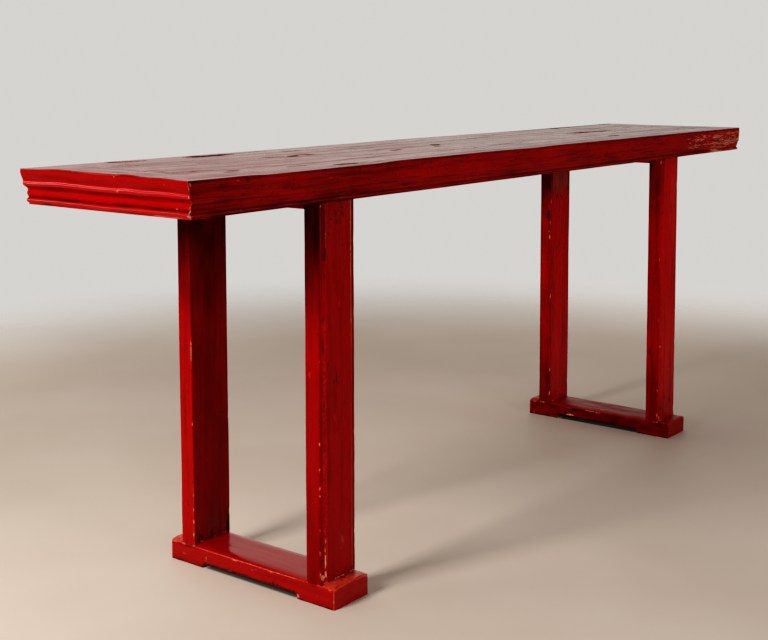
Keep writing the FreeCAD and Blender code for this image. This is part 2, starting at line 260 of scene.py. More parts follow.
def skin(name, P, attrs, mats, face_mat=None, parts=(), angle=32):
    """One closed mesh from a loft P (stations, ring, xyz), with any closed extra parts (vertices, faces, attribute values, material)."""
    ns, nr = P.shape[:2]
    idx = np.arange(ns * nr).reshape(ns, nr)
    j1 = np.roll(idx, -1, 1)
    Q = np.stack([idx[:-1], idx[1:], j1[1:], j1[:-1]], -1)
    UQ = pack_uv(P)
    V = P.reshape(-1, 3)
    c0, c1 = len(V), len(V) + 1
    V = np.concatenate([V, P[0].mean(0)[None], P[-1].mean(0)[None]])
    T = np.concatenate([np.stack([np.full(nr, c0), idx[0], j1[0]], -1), np.stack([np.full(nr, c1), j1[-1], idx[-1]], -1)])
    uv_t = np.zeros((len(T), 3, 2))
    uv_t[:nr, 0] = UQ[0, :, 0].mean(0); uv_t[:nr, 1] = UQ[0, :, 0]; uv_t[:nr, 2] = UQ[0, :, 3]
    uv_t[:nr, 0, 0] = max(UQ[0, 0, 0, 0] - 0.0015, 0.0005)
    uv_t[nr:, 0] = UQ[-1, :, 1].mean(0); uv_t[nr:, 1] = UQ[-1, :, 2]; uv_t[nr:, 2] = UQ[-1, :, 1]
    uv_t[nr:, 0, 0] = min(UQ[-1, 0, 1, 0] + 0.0015, 0.9995)
    # outward faces
    a, b, c = V[T[:, 0]], V[T[:, 1]], V[T[:, 2]]
    vol = np.einsum("ij,ij->", a, np.cross(b, c))
    q = Q.reshape(-1, 4)
    for k in ((0, 1, 2), (0, 2, 3)):
        a, b, c = (V[q[:, m]] for m in k)
        vol += np.einsum("ij,ij->", a, np.cross(b, c))
    UQf = UQ.reshape(-1, 4, 2)
    if vol < 0:
        q, UQf, T, uv_t = q[:, ::-1], UQf[:, ::-1], T[:, ::-1], uv_t[:, ::-1]
    fm = np.zeros((ns - 1, nr), np.int32) if face_mat is None else face_mat.astype(np.int32)
    mat = np.concatenate([fm.ravel(), np.repeat(fm.ravel()[:1], nr), np.repeat(fm.ravel()[-1:], nr)])
    A = {k: np.concatenate([v.ravel(), [v[0].mean()], [v[-1].mean()]]) for k, v in attrs.items()}
    faces4, faces3 = [q], [T]
    uv4, uv3 = [UQf], [uv_t]
    mat4, mat3 = [mat[:len(q)]], [mat[len(q):]]
    for pv, pq, pa, pm in parts:
        n = len(V)
        V = np.concatenate([V, pv])
        faces4.append(pq + n)
        uv4.append(np.tile(np.array([[.9965, .9965], [.999, .9965], [.999, .999], [.9965, .999]]), (len(pq), 1, 1)))
        mat4.append(np.full(len(pq), pm, np.int32))
        for k in A:
            A[k] = np.concatenate([A[k], np.full(len(pv), pa.get(k, 0.0))])
    Q, T = np.concatenate(faces4), np.concatenate(faces3)
    me = bpy.data.meshes.new(name)
    me.vertices.add(len(V))
    me.vertices.foreach_set("co", (V * 0.001).astype(np.float32).ravel())
    loops = np.concatenate([Q.ravel(), T.ravel()]).astype(np.int32)
    me.loops.add(len(loops))
    me.loops.foreach_set("vertex_index", loops)
    me.polygons.add(len(Q) + len(T))
    start = np.concatenate([np.arange(len(Q)) * 4, len(Q) * 4 + np.arange(len(T)) * 3]).astype(np.int32)
    me.polygons.foreach_set("loop_start", start)
    me.polygons.foreach_set("material_index", np.concatenate(mat4 + mat3).astype(np.int32))
    me.polygons.foreach_set("use_smooth", np.ones(len(start), bool))
    me.update(calc_edges=True)
    uv = me.uv_layers.new(name="OFBake")
    uv.data.foreach_set("uv", np.concatenate([np.concatenate(uv4).ravel(), np.concatenate(uv3).ravel()]).astype(np.float32))
    for k, v in A.items():
        at = me.attributes.new(k, "FLOAT", "POINT")
        at.data.foreach_set("value", v.astype(np.float32))
    me.set_sharp_from_angle(angle=math.radians(angle))
    for m in mats:
        me.materials.append(m)
    if me.validate():
        raise RuntimeError(name + ": the mesh needed repair")
    ob = bpy.data.objects.new(name, me)
    scene.collection.objects.link(ob)
    return ob


def block(x0, x1, y0, y1, z0, z1, c=0.8):
    """A closed block with chamfered edges along Z, as (vertices, quads) for a tenon."""
    ring = [(x0 + c, y0), (x1 - c, y0), (x1, y0 + c), (x1, y1 - c), (x1 - c, y1), (x0 + c, y1), (x0, y1 - c), (x0, y0 + c)]
    cx, cy = (x0 + x1) / 2, (y0 + y1) / 2
    rows = []
    for z, f in ((z0, 0.5), (z0, 0.94), (z0 + c, 1.0), (z1 - c, 1.0), (z1, 0.94), (z1, 0.5)):
        rows.append([(cx + (x - cx) * f, cy + (y - cy) * f, z) for x, y in ring])
    V = np.array(rows, float).reshape(-1, 3)
    Q = [[r * 8 + i, r * 8 + (i + 1) % 8, (r + 1) * 8 + (i + 1) % 8, (r + 1) * 8 + i] for r in range(5) for i in range(8)]
    for base, flip in ((0, True), (40, False)):
        f = [[base + 0, base + 1, base + 2, base + 3], [base + 0, base + 3, base + 4, base + 7], [base + 4, base + 5, base + 6, base + 7]]
        Q += [g[::-1] for g in f] if flip else f
    return V, np.array(Q)


def fine_relief(P, seed, axis):
    """The planed and brushed surface: long shallow waves along the grain."""
    s = [9.0, 9.0, 9.0]
    s[axis] = 85.0
    x, y, z = P[..., 0], P[..., 1], P[..., 2]
    h = 0.10 * fbm(x / s[0], y / s[1], z / s[2], seed, 2)
    s = [26.0, 26.0, 26.0]
    s[axis] = 120.0
    return h + 0.16 * noise(x / s[0], y / s[1], z / s[2], seed + 5)


def top_waves(P, axis):
    """The top is rubbed smoother than the rest: long, low swells along the grain."""
    a, b = (P[..., 0], P[..., 1]) if axis == 0 else (P[..., 1], P[..., 0])
    return 0.10 * noise(a / 420, b / 30, 0, 305) + 0.055 * noise(a / 230, b / 11, 0, 306) + 0.35 * fine_relief(P, 301 if axis == 0 else 341, axis)


def grade(total, first, most, growth=1.16):
    """Distances from 0 to total whose steps start small and grow to most."""
    steps, s = [], first
    while sum(steps) < total:
        steps.append(min(s, most))
        s *= growth
    d = np.concatenate([[0], np.cumsum(steps)])
    return d * (total / d[-1])


def both_ends(half, inner, first, most):
    """Stations from -half to half, fine near both ends."""
    g = grade(half - inner, first, most)
    n = max(2, int(round(2 * inner / most)))
    mid = np.linspace(-inner, inner, n + 1)[1:-1]
    return np.concatenate([-half + g, mid, (half - g)[::-1]])


# ---------------------------------------------------------------- the moulding
DEEP_RUN = [(1.5, 0.0), (6.0, 0.02), (12.0, 0.12), (18.0, 0.27), (21.5, 0.335), (24.0, 0.335), (27.3, 0.25), (30.0, 0.32), (32.5, 0.54),
            (35.5, 0.78), (38.5, 0.87), (41.0, 0.85), (43.8, 0.79), (47.0, 0.80), (50.0, 0.88), (52.5, 0.99), (54.0, 1.0)]
DEEP_BEAD = [(54.0, 1.0), (58.6, 0.68), (63.4, 0.96)]
DEEP_FOOT = [(63.4, 0.96), (66.0, 0.94)]
FLAT_RUN = [(1.5, 0.0), (8.0, 0.01), (22.0, 0.09), (34.0, 0.15), (39.5, 0.18)]
FLAT_LINES = [(39.5, 0.18), (43.0, 0.50), (50.0, 0.62), (58.5, 1.0)]
FLAT_BEAD = [(58.5, 1.0), (61.5, 0.52), (66.0, 0.66)]


def through(points, step):
    """Points along the natural cubic spline through points, by chord length."""
    p = np.array(points, float)
    s = np.concatenate([[0], np.cumsum(np.linalg.norm(np.diff(p, axis=0), axis=1))])
    n, h = len(p), np.diff(s)
    A, R = np.zeros((n, n)), np.zeros((n, 2))
    A[0, 0] = A[-1, -1] = 1
    for i in range(1, n - 1):
        A[i, i - 1], A[i, i], A[i, i + 1] = h[i - 1], 2 * (h[i - 1] + h[i]), h[i]
        R[i] = 6 * ((p[i + 1] - p[i]) / h[i] - (p[i] - p[i - 1]) / h[i - 1])
    M = np.linalg.solve(A, R)
    t = np.linspace(0, s[-1], max(3, int(round(s[-1] / step)) + 1))
    k = np.clip(np.searchsorted(s, t, side="right") - 1, 0, n - 2)
    a, b, hh = (s[k + 1] - t)[:, None], (t - s[k])[:, None], h[k][:, None]
    return (M[k] * a ** 3 + M[k + 1] * b ** 3) / (6 * hh) + (p[k] / hh - M[k] * hh / 6) * a + (p[k + 1] / hh - M[k + 1] * hh / 6) * b


def arc3(p, q, r, n):
    (x1, y1), (x2, y2), (x3, y3) = p, q, r
    d = 2 * (x1 * (y2 - y3) + x2 * (y3 - y1) + x3 * (y1 - y2))
    cx = ((x1 * x1 + y1 * y1) * (y2 - y3) + (x2 * x2 + y2 * y2) * (y3 - y1) + (x3 * x3 + y3 * y3) * (y1 - y2)) / d
    cy = ((x1 * x1 + y1 * y1) * (x3 - x2) + (x2 * x2 + y2 * y2) * (x1 - x3) + (x3 * x3 + y3 * y3) * (x2 - x1)) / d
    R = math.hypot(x1 - cx, y1 - cy)
    a, m, b = (math.atan2(y - cy, x - cx) for x, y in (p, q, r))
    while m < a: m += 2 * math.pi
    while b < a: b += 2 * math.pi
    if m > b:
        b -= 2 * math.pi
    t = np.linspace(a, b, n)
    return np.stack([cx + R * np.cos(t), cy + R * np.sin(t)], -1)


def lines(points, step):
    out = [np.array(points[0], float)[None]]
    for p, q in zip(points, points[1:]):
        n = max(1, int(round(math.dist(p, q) / step)))
        out.append(np.linspace(p, q, n + 1)[1:])
    return np.concatenate(out)


def outer_profile(side):
    """(inset, depth) from the top edge down to the underside."""
    kind, cut = CUT[side]
    step = 0.95 * COARSE
    ph = np.linspace(0, math.pi / 2, 6)
    arris = np.stack([ARRIS - ARRIS * np.sin(ph), ARRIS - ARRIS * np.cos(ph)], -1)
    sc = lambda run: [(share * cut, d) for d, share in run]
    if kind == "deep":
        b = sc(DEEP_BEAD)
        rest = [through(sc(DEEP_RUN), step)[1:], arc3(b[0], b[1], b[2], 13)[1:], lines(sc(DEEP_FOOT), step)[1:]]
    else:
        b = sc(FLAT_BEAD)
        rest = [through(sc(FLAT_RUN), step * 1.25)[1:], lines(sc(FLAT_LINES), step * 0.75)[1:], arc3(b[0], b[1], b[2], 11)[1:]]
    return np.concatenate([arris] + rest)


PROFILE = {s: outer_profile(s) for s in CUT}


def inset(side, d):
    p = PROFILE[side]
    return np.interp(d, np.maximum.accumulate(p[:, 1]), p[:, 0])


CORNERS = {("left", "front"): 1, ("right", "front"): 2, ("left", "back"): 3, ("right", "back"): 4}


def corner_round(corner, d):
    """Radius that wear has left on the moulded corner, larger where it is chipped."""
    r = (1.3 if corner == 1 else 0.8) + 0.5 * fbm(d / 4.0, corner, 0, 61, 2)
    chips = {1: [(5, 1.6, 1.0), (9, 1.0, 1.3), (12.5, 2.2, 1.2), (27.5, 2.2, 1.7), (33, 1.4, 0.9), (45, 2.4, 1.2), (50.5, 1.2, 1.8), (54, 1.5, 1.2), (61, 2.2, 1.8)],
             2: [(4, 3.0, 2.2), (27, 2.5, 1.2), (62, 3, 2.0)],
             3: [(3, 2.5, 1.6), (28, 3, 1.4), (62, 3, 2.4)], 4: [(3, 3.0, 1.8), (30, 3, 1.6), (60, 3, 1.8)]}[corner]
    for c, w, a in chips:
        r = r + a * bump1(d, c, w)
    return np.clip(r, 0.5, 4.5)


# Marks on the front face: x, depth below the top, half length, half width, turn in degrees, depth, darkness
FRONT_DARK = [(-745, 51, 9, 2.2, 0, 0.9, 1.0), (1008, 20, 4.5, 3.2, 0, 1.3, 1.0), (-1062, 12, 9, 4, 0, 0.4, 0.55), (-942, 23, 6, 6, 20, 0.4, 0.5),
              (-930, 20, 5, 5, 0, 0.4, 0.45), (-572, 9, 8, 5, 0, 0.5, 0.6), (-600, 8, 12, 3, 0, 0.3, 0.4), (-500, 41, 30, 1.5, 2, 0.3, 0.5),
              (150, 30, 8, 3, 10, 0.4, 0.6), (420, 12, 6, 4, 0, 0.4, 0.5), (300, 22, 16, 2, 4, 0.3, 0.4), (905, 35, 7, 3.5, 0, 0.5, 0.7),
              (845, 47, 12, 2.5, 4, 0.4, 0.6), (-200, 10, 12, 3, 0, 0.4, 0.5), (-60, 14, 7, 4, 0, 0.4, 0.5), (-340, 26, 9, 3, 5, 0.4, 0.5),
              (1126, 60, 10, 5, 0, 1.6, 1.0), (640, 16, 9, 3, 3, 0.4, 0.5), (-998, 9, 9, 6, 0, 0.4, 0.75), (-1000, 24, 12, 2.5, 3, 0.3, 0.5), (-1050, 24, 14, 2.4, 2, 0.3, 0.6),
              (-1010, 33, 8, 3.5, 0, 0.3, 0.6), (-905, 28, 10, 3.5, 0, 0.3, 0.6), (-880, 14, 7, 5, 0, 0.4, 0.55), (-690, 12, 8, 5, 0, 0.4, 0.6), (-660, 30, 12, 2, 2, 0.3, 0.5),
              (-455, 12, 9, 4, 0, 0.4, 0.65), (-420, 20, 14, 3, 3, 0.3, 0.5), (-385, 9, 9, 3, 0, 0.3, 0.6), (-120, 8, 12, 3, 0, 0.4, 0.6), (60, 10, 10, 3, 0, 0.4, 0.6)]
_r = np.random.default_rng(77)
for _k in range(150):
    _x, _d = _r.uniform(-1128, 1090), _r.uniform(4, 57)
    FRONT_DARK.append((_x, _d, _r.uniform(3, 26) if _k % 3 else _r.uniform(2, 5), _r.uniform(0.8, 2.4), _r.uniform(-4, 6), 0.25, _r.uniform(0.30, 0.52)))
FRONT_DARK = [(*m[:6], m[6] if m[6] > 0.95 or m[6] < 0.4 else m[6] * 0.8) for m in FRONT_DARK]
FRONT_PALE = [(-1135, 6.5, 2.0, 3.4, -32, 0.4, 0.95), (-1137.8, 26, 0.9, 3.5, 0, 0.3, 0.8), (-1132.5, 60.5, 5.5, 2.4, 0, 0.4, 1.0), (-775, 18, 8, 1.0, 4, 0.2, 0.8), (-1022, 7, 4, 1.2, 0, 0.2, 0.7), (-1012, 61, 3, 1.6, 30, 0.3, 0.8), (1000, 21, 9, 2.2, -6, 0.3, 0.8),
              (990, 24, 7, 1.8, 0, 0.3, 0.7), (1119, 22, 1.8, 20, 0, 0.3, 0.9), (930, 17, 20, 1.4, 12, 0.2, 0.7), (860, 25, 22, 1.4, 6, 0.2, 0.65),
              (900, 22, 16, 1.0, -9, 0.2, 0.6), (800, 40, 16, 1.2, 3, 0.2, 0.6), (780, 29, 12, 1.0, 8, 0.2, 0.5), (740, 20, 9, 1.2, 5, 0.2, 0.5),
              (960, 49, 36, 3.0, 2, 0.1, 0.5), (1050, 52, 44, 2.4, 1, 0.1, 0.45), (870, 52, 20, 2.0, 3, 0.1, 0.45), (830, 14, 10, 1.2, 14, 0.1, 0.5)]
FRONT_LINES = [([(1040, 27), (1049, 15), (1057, 5), (1063, 16), (1066, 26)], 1.5, 0.85), ([(1043, 24), (1052, 13), (1058, 3)], 1.3, 0.7),
               ([(905, 33), (925, 28), (950, 24), (968, 22)], 0.9, 0.5)]


def rail(name, side):
    """One member of the moulded frame. Its ends meet the next members on a plane from the moulded corner to the inner corner."""
    ends = {"front": ("left", "right"), "back": ("left", "right"), "left": ("front", "back"), "right": ("front", "back")}[side]
    long_one = side in ("front", "back")
    half = HX if long_one else HY
    prof = PROFILE[side]
    n_prof = len(prof)
    te = prof[-1, 0]
    g = grade(RAIL_W - 1.5 - ARRIS, 1.0, 3.4 * COARSE, 1.3)
    bottom = np.stack([np.linspace(te, RAIL_W - 1.2, int(15 / COARSE) + 2)[1:], np.full(int(15 / COARSE) + 1, RIM)], -1)
    ph = np.linspace(0, math.pi / 2, 4)
    heel = np.stack([RAIL_W - 1.2 + 1.2 * np.sin(ph), RIM - 1.2 + 1.2 * np.cos(ph)], -1)[1:]
    inner = np.stack([np.full(int(12 / COARSE) + 1, RAIL_W), np.linspace(RIM - 1.2, 0.35, int(12 / COARSE) + 2)[1:]], -1)
    top = np.stack([np.concatenate([[RAIL_W - 0.35], RAIL_W - 1.5 - (RAIL_W - 1.5 - ARRIS) * (1 - g[::-1] / g[-1])[1:]]), np.zeros(len(g))], -1)
    top = top[top[:, 0] > ARRIS + 0.4]
    ring = np.concatenate([prof, bottom, heel, inner, top])
    t, d = ring[:, 0], ring[:, 1]
    nr = len(ring)
    on_face = np.zeros(nr, bool); on_face[:n_prof] = True
    on_top = np.zeros(nr, bool); on_top[n_prof + len(bottom) + len(heel) + len(inner):] = True
    b = inset(side, d)
    face_w = np.clip(1 - (t - b) / 9.0, 0, 1)
    block_l = 140.0
    step = (3.5 if long_one else 1.9) * COARSE
    gs = grade(block_l, 0.35, step)
    mid = np.linspace(-half + block_l, half - block_l, max(2, int(round(2 * (half - block_l) / step)) + 1))
    k0 = len(gs)
    S = np.empty((2 * k0 + len(mid) - 2, nr))
    q_end = []
    for e, end in enumerate(ends):
        corner = CORNERS[(end, side) if long_one else (side, end)]
        r = corner_round(corner, d)
        a = inset(end, d)
        t0 = t + face_w * 0.293 * r
        x0 = a + (t0 - b) * (RAIL_W - a) / (RAIL_W - b)
        q_end.append((r, x0))
    (r0, x0), (r1, x1) = q_end
    f = gs / gs[-1]
    S[:k0] = -half + x0[None] + (block_l - x0)[None] * f[:, None]
    S[k0 - 1:k0 - 1 + len(mid)] = mid[:, None]
    S[-k0:] = (half - x1[None] - (block_l - x1)[None] * f[:, None])[::-1]
    q0 = S - (-half + x0)[None]
    q1 = (half - x1)[None] - S
    T = np.repeat(t[None], len(S), 0)
    D = np.repeat(d[None], len(S), 0)
    chip = np.zeros_like(T)
    for q, r in ((q0, r0), (q1, r1)):
        u = np.clip(r[None] - (q + 0.293 * r[None]), 0, None)
        T += face_w[None] * (r[None] - np.sqrt(np.clip(r[None] ** 2 - u ** 2, 0, None)))
        rag = 0.55 + 0.75 * (0.5 + 0.5 * fbm(q / 1.7, d[None] / 2.1, 0, 63, 2))
        chip = np.maximum(chip, face_w[None] * (1 - smooth(0.15, 0.80, q / np.maximum(r[None], 0.6) / rag)) * (0.52 + 0.50 * smooth(0.9, 2.2, r)[None]))
    away = smooth(0, 28, np.minimum(q0, q1))
    seed = {"front": 101, "back": 151, "left": 201, "right": 251}[side]
    # hand-cut wobble of the moulding
    deep = CUT[side][0] == "deep"
    win = (on_face & (d > 3))[None] * smooth(2, 9, D) * smooth(66.5, 62, D) * away
    amp = 0.85 if side == "left" else (0.6 if deep else 0.35)
    T += win * amp * (0.50 * noise(S / 80, D / 13, 0, seed) + 0.14 * noise(S / 27, D / 9, 0, seed + 1))
    D2 = D + win * amp * (0.9 * noise(S / 85, D / 18, 3, seed + 2) + 0.30 * noise(S / 31, D / 10, 5, seed + 3))
    # the top edge is worn more in some places than in others
    soft = away * np.clip(0.4 + 0.8 * fbm(S / 90, 0, 0, seed + 4, 3), 0, 1.4)
    edge_d = np.hypot(np.clip(t - 0, 0, None), d)[None]
    T += on_face[None] * soft * 0.5 * np.exp(-(D / 1.8) ** 2)
    D2 = D2 + soft * 0.4 * np.exp(-(edge_d / 2.2) ** 2) * (d < 3)[None]
    Z = H - D2
    if side == "front": P = np.stack([S, -HY + T, Z], -1)
    if side == "back": P = np.stack([S, HY - T, Z], -1)
    if side == "left": P = np.stack([-HX + T, S, Z], -1)
    if side == "right": P = np.stack([HX - T, S, Z], -1)
    X, Y = P[..., 0], P[..., 1]
    dep, dark = np.zeros_like(T), np.zeros_like(T)
    topm = np.repeat((on_top | (on_face & (d < 1.2)))[None], len(S), 0)
    tz, td = top_relief(X[topm], Y[topm])
    dep[topm], dark[topm] = tz, td
    wear = np.zeros_like(T)
    dirt = np.zeros_like(T)
    facem = np.repeat(on_face[None], len(S), 0)
    if side == "front":
        z1_, d1_ = mark_field(S[facem], D[facem], FRONT_DARK, 700)
        # dark bands that follow the low step of the moulding
        band = bump1(D[facem] + 1.5 * noise(S[facem] / 130, 0, 0, 818), 40.0, 2.2) + 0.7 * bump1(D[facem] + 1.2 * noise(S[facem] / 90, 0, 0, 819), 46.5, 1.5)
        d1_ = np.maximum(d1_, band * 0.62 * smooth(-0.45, 0.35, noise(S[facem] / 210, 0, 0, 820) + 0.4 * noise(S[facem] / 40, D[facem] / 3, 0, 821)) * smooth(900, 500, S[facem]))
        z2_, d2_ = mark_field(S[facem], D[facem], FRONT_PALE, 800)
        w_ = d2_
        for k, (pts, hw, st) in enumerate(FRONT_LINES):
            dd, _ = path_distance(S[facem], D[facem], pts)
            w_ = np.maximum(w_, st * (1 - smooth(hw * 0.5, hw * 1.5, dd)))
        right = smooth(700, 1020, S[facem])
        line = bump1(D[facem] + 0.8 * noise(S[facem] / 60, 0, 0, 812), 40.6, 1.3)
        w_ = np.maximum(w_, (0.42 * smooth(600, 700, S[facem]) + 0.68 * smooth(780, 840, S[facem])) * line)
        w_ = np.maximum(w_, 0.80 * smooth(830, 900, S[facem]) * bump1(D[facem] + 0.7 * noise(S[facem] / 40, 0, 0, 814), 46.0, 0.9) * (0.7 + 0.4 * noise(S[facem] / 18, 0, 0, 822)))
        low = bump1(D[facem], 59.9, 1.1)
        w_ = np.maximum(w_, low * (0.40 * (1 - smooth(-700, -350, S[facem])) + 0.20) * (0.7 + 0.6 * noise(S[facem] / 37, 0, 0, 813)))
        scuff = smooth(0.16, 0.42, noise(S[facem] / 42, D[facem] / 1.7, 0, 816) + 0.35 * noise(S[facem] / 160, D[facem] / 9, 0, 817))
        fleck = smooth(0.30, 0.52, noise(S[facem] / 13, D[facem] / 2.0, 0, 826) + 0.45 * noise(S[facem] / 60, D[facem] / 11, 0, 827))
        w_ = np.maximum(w_, fleck * 0.86 * smooth(715, 790, S[facem]) * smooth(5, 12, D[facem]) * smooth(56, 44, D[facem]))
        w_ = np.maximum(w_, scuff * (0.84 * smooth(900, 970, S[facem]) + 0.20 * smooth(700, 760, S[facem])) * smooth(6, 14, D[facem]))
        d1_ = np.maximum(d1_, 0.8 * bump1(S[facem] + 0.8 * noise(0, D[facem] / 8, 0, 828), 1124, 1.8) * smooth(2, 8, D[facem]))
        # the far third has been rubbed thin
        rub = right * (0.34 + 0.3 * fbm(S[facem] / 38, D[facem] / 7, 0, 815, 3)) * smooth(3, 8, D[facem])
        w_ = np.maximum(w_, np.clip(rub, 0, 0.62))
        dep[facem] += z1_ + z2_ * 0.5
        dark[facem] = np.maximum(dark[facem], d1_)
        wear[facem] = np.maximum(wear[facem], w_)
        # a filled hairline across the face, near the near end
        seam = bump1(S + 1.2 * noise(0, D / 9, 0, 821), -1012, 1.4) * facem
        dirt = np.maximum(dirt, 0.72 * seam * (0.6 + 0.4 * noise(0, D / 5, 0, 822)))
        dep += 0.25 * seam
        # the near corner is knocked pale; beside the break the front face gets a dark band, partly the dark rims of the
        # chips and partly painted shade
        dirt = np.maximum(dirt, 0.62 * bump1(q0, 6.5, 5.0) * facem * smooth(2, 5, D) * (0.72 + 0.45 * noise(q0 / 3.2, D / 4.0, 0, 824)))
    if side == "left":
        seam = bump1(S + 1.0 * noise(0, D / 9, 0, 823), -45, 1.2) * facem
        dirt = np.maximum(dirt, 0.5 * seam * smooth(4, 10, D))
        dep += 0.22 * seam
        z2_, d2_ = mark_field(S[facem], D[facem], [(-163, 11, 1.8, 2.2, 0, 0.4, .78), (-74, 8, 2.2, 1.3, 30, 0.4, .7), (-40, 4.5, 2.4, 1.8, 0, 0.4, .8), (-36, 8, 1.2, 3, 0, 0.2, .55),
                                                 (-184, 50, 3.2, 1.6, 0, 0.4, .72), (-155, 51, 2.4, 1.4, 0, 0.4, .66), (62, 48, 2, 1.2, 0, 0.3, .62), (86, 46, 2, 1.2, 0, 0.3, .62),
                                                 (-44, 27, 1.6, 3, 0, 0.4, .75), (-218.6, 27, 1.0, 3, 0, 0.3, .8), (-214, 60.5, 5, 2.6, 0, 0.4, 1.0), (-214, 53, 1.8, 1.6, 0, 0.4, .85), (-210, 46, 1.6, 1.2, 0, 0.3, .75), (-192, 40, 2.2, 1.4, 0, 0.3, .7), (170, 45, 2.6, 1.2, 0, 0.3, .66), (-120, 6, 2, 1.2, 0, 0.3, .55), (10, 12, 2, 1.4, 0, 0.3, .5),
                                                 (130, 9, 2, 1.4, 0, 0.3, .5)], 830)
        wear[facem] = np.maximum(wear[facem], d2_)
        dep[facem] += z2_
        _, d1_ = mark_field(S[facem], D[facem], [(150, 64, 15, 2.4, 0, 0.9, 0.9), (-160, 60, 8, 2, 0, 0.3, 0.5), (40, 19, 10, 3, 5, 0.3, 0.4), (-176, 51, 7, 1.4, 0, 0.4, 0.7), (-60, 30, 12, 1.2, 3, 0.2, 0.4), (70, 27, 9, 1.6, 2, 0.2, 0.5),
                                           (-100, 22, 8, 1.6, 3, 0.2, 0.45), (100, 44, 14, 1.4, 2, 0.2, 0.45)], 835)
        dark[facem] = np.maximum(dark[facem], d1_)
    # wear along the sharp lines of the moulding and at the corners
    nz = 0.5 + 0.5 * fbm(S / 46, D / 6, 0, seed + 7, 3)
    lines_w = ((0.10 if side == "left" else 0.20) * bump1(D, 1.0, 1.4) + (0.10 * bump1(D, 26, 2.0) + 0.30 * bump1(D, 59, 2.0) + 0.3 * bump1(D, 66, 1.4) if deep
               else 0.20 * bump1(D, 39.3, 0.9) + 0.26 * bump1(D, 60.6, 1.3) + 0.34 * bump1(D, 66, 1.4)))
    wear = np.maximum(wear, on_face[None] * lines_w * (0.55 + 0.75 * nz))
    wear = np.maximum(wear, chip * (0.55 + 0.55 * nz))
    heel_w = bump1(t, RAIL_W, 3) * bump1(d, RIM, 3)
    wear = np.maximum(wear, heel_w[None] * 0.4 * nz)
    quirk = (0.55 * bump1(D, 38, 2.4) + 0.9 * bump1(D, 53.5, 2.0) if deep else
             0.50 * bump1(D, 42.3, 1.2) + 0.3 * bump1(D, 49.8, 0.8) + 0.74 * bump1(D, 58.4, 1.0))
    dirt = np.maximum(dirt, on_face[None] * quirk * (0.55 + 0.6 * nz))
    dirt = np.maximum(dirt, bump1(np.minimum(q0, q1), 0, 0.8) * face_w[None] * 0.35)
    if on_top.any():
        joint = np.maximum(bump1(t, RAIL_W, 1.2)[None] * on_top[None], bump1(np.minimum(q0, q1), 0, 0.9) * on_top[None])
        dirt = np.maximum(dirt, joint * 0.42 * (0.5 + 0.5 * fbm(S / 35, 0, 0, seed + 9, 2)))
        dep = dep + joint * 0.18
    N = loft_normals(P)
    sign = -1.0 if np.sum(N[len(S) // 2, n_prof // 3] * (np.array([0, -1, 0]) if side == "front" else np.array([0, 1, 0]) if side == "back" else np.array([-1, 0, 0]) if side == "left" else np.array([1, 0, 0]))) < 0 else 1.0
    N = N * sign
    upper = np.maximum(on_top[None] * 1.0, on_face[None] * (1 - smooth(0.5, 7, D)))
    h = fine_relief(P, 301 if long_one else 341, 0 if long_one else 1) * (1 - upper) * (0.5 if deep else 1.0) + top_waves(P, 0 if long_one else 1) * upper
    h = h * smooth(0, 5, np.minimum(q0, q1))
    P = P + slow_field(P) + N * (h - dep)[..., None]
    # painted shade: darker bands in the hollows of the moulding, under its top edge and along its lower edge; on the
    # flat rails also growing towards +X, and on the front rail towards its near end
    sn = 0.75 + 0.35 * fbm(S / 70, D / 12, 2, seed + 12, 3)
    if deep:
        shade = 0.66 * bump1(D, 36.0, 4.0) + 0.66 * bump1(D, 52.2, 2.4) + 0.46 * smooth(61.8, 64.0, D) + 0.36 * smooth(7, 18, D) * smooth(24.0, 20.5, D) + 0.46 * bump1(D, 2.0, 2.0)
        shade = shade + 0.17 * smooth(21, 17, D) + 0.08 * smooth(30, 34, D)
        dull = smooth(29.5, 32.5, D) * smooth(56.5, 55.0, D)
    else:
        shade = 0.62 * bump1(D, 2.8, 2.8) + 0.44 * bump1(D, 42.4, 1.8) + 0.30 * bump1(D, 49.6, 1.2) + 0.56 * bump1(D, 58.0, 1.7) + 0.66 * smooth(61.5, 63.8, D)
        shade = shade + 0.12 * smooth(44, 52, D) + 0.06 * smooth(-100, 800, S)
        if side == "front":
            shade = shade + smooth(-220, -760, S) * (0.24 + 0.16 * bump1(D, 26, 15) + 0.18 * smooth(40, 52, D))
        dull = 0 * D
    shade = shade * sn * on_face[None]
    attrs = {"wear": np.clip(wear, 0, 1.2), "dirt": np.clip(dirt, 0, 1.2), "mark": np.clip(dark, 0, 1), "shade": np.clip(shade, 0, 1), "dull": dull * on_face[None]}
    P, attrs, n = close_ends(P, attrs, (0.9, 0.5))
    fm = np.zeros((P.shape[0] - 1, nr), int)
    under = np.zeros(nr, bool)
    under[n_prof + len(bottom) + len(heel) - 1:n_prof + len(bottom) + len(heel) + len(inner)] = True
    fm[:, under] = 1
    fm[:, on_top | np.roll(on_top, -1)] = 2
    return P, attrs, fm


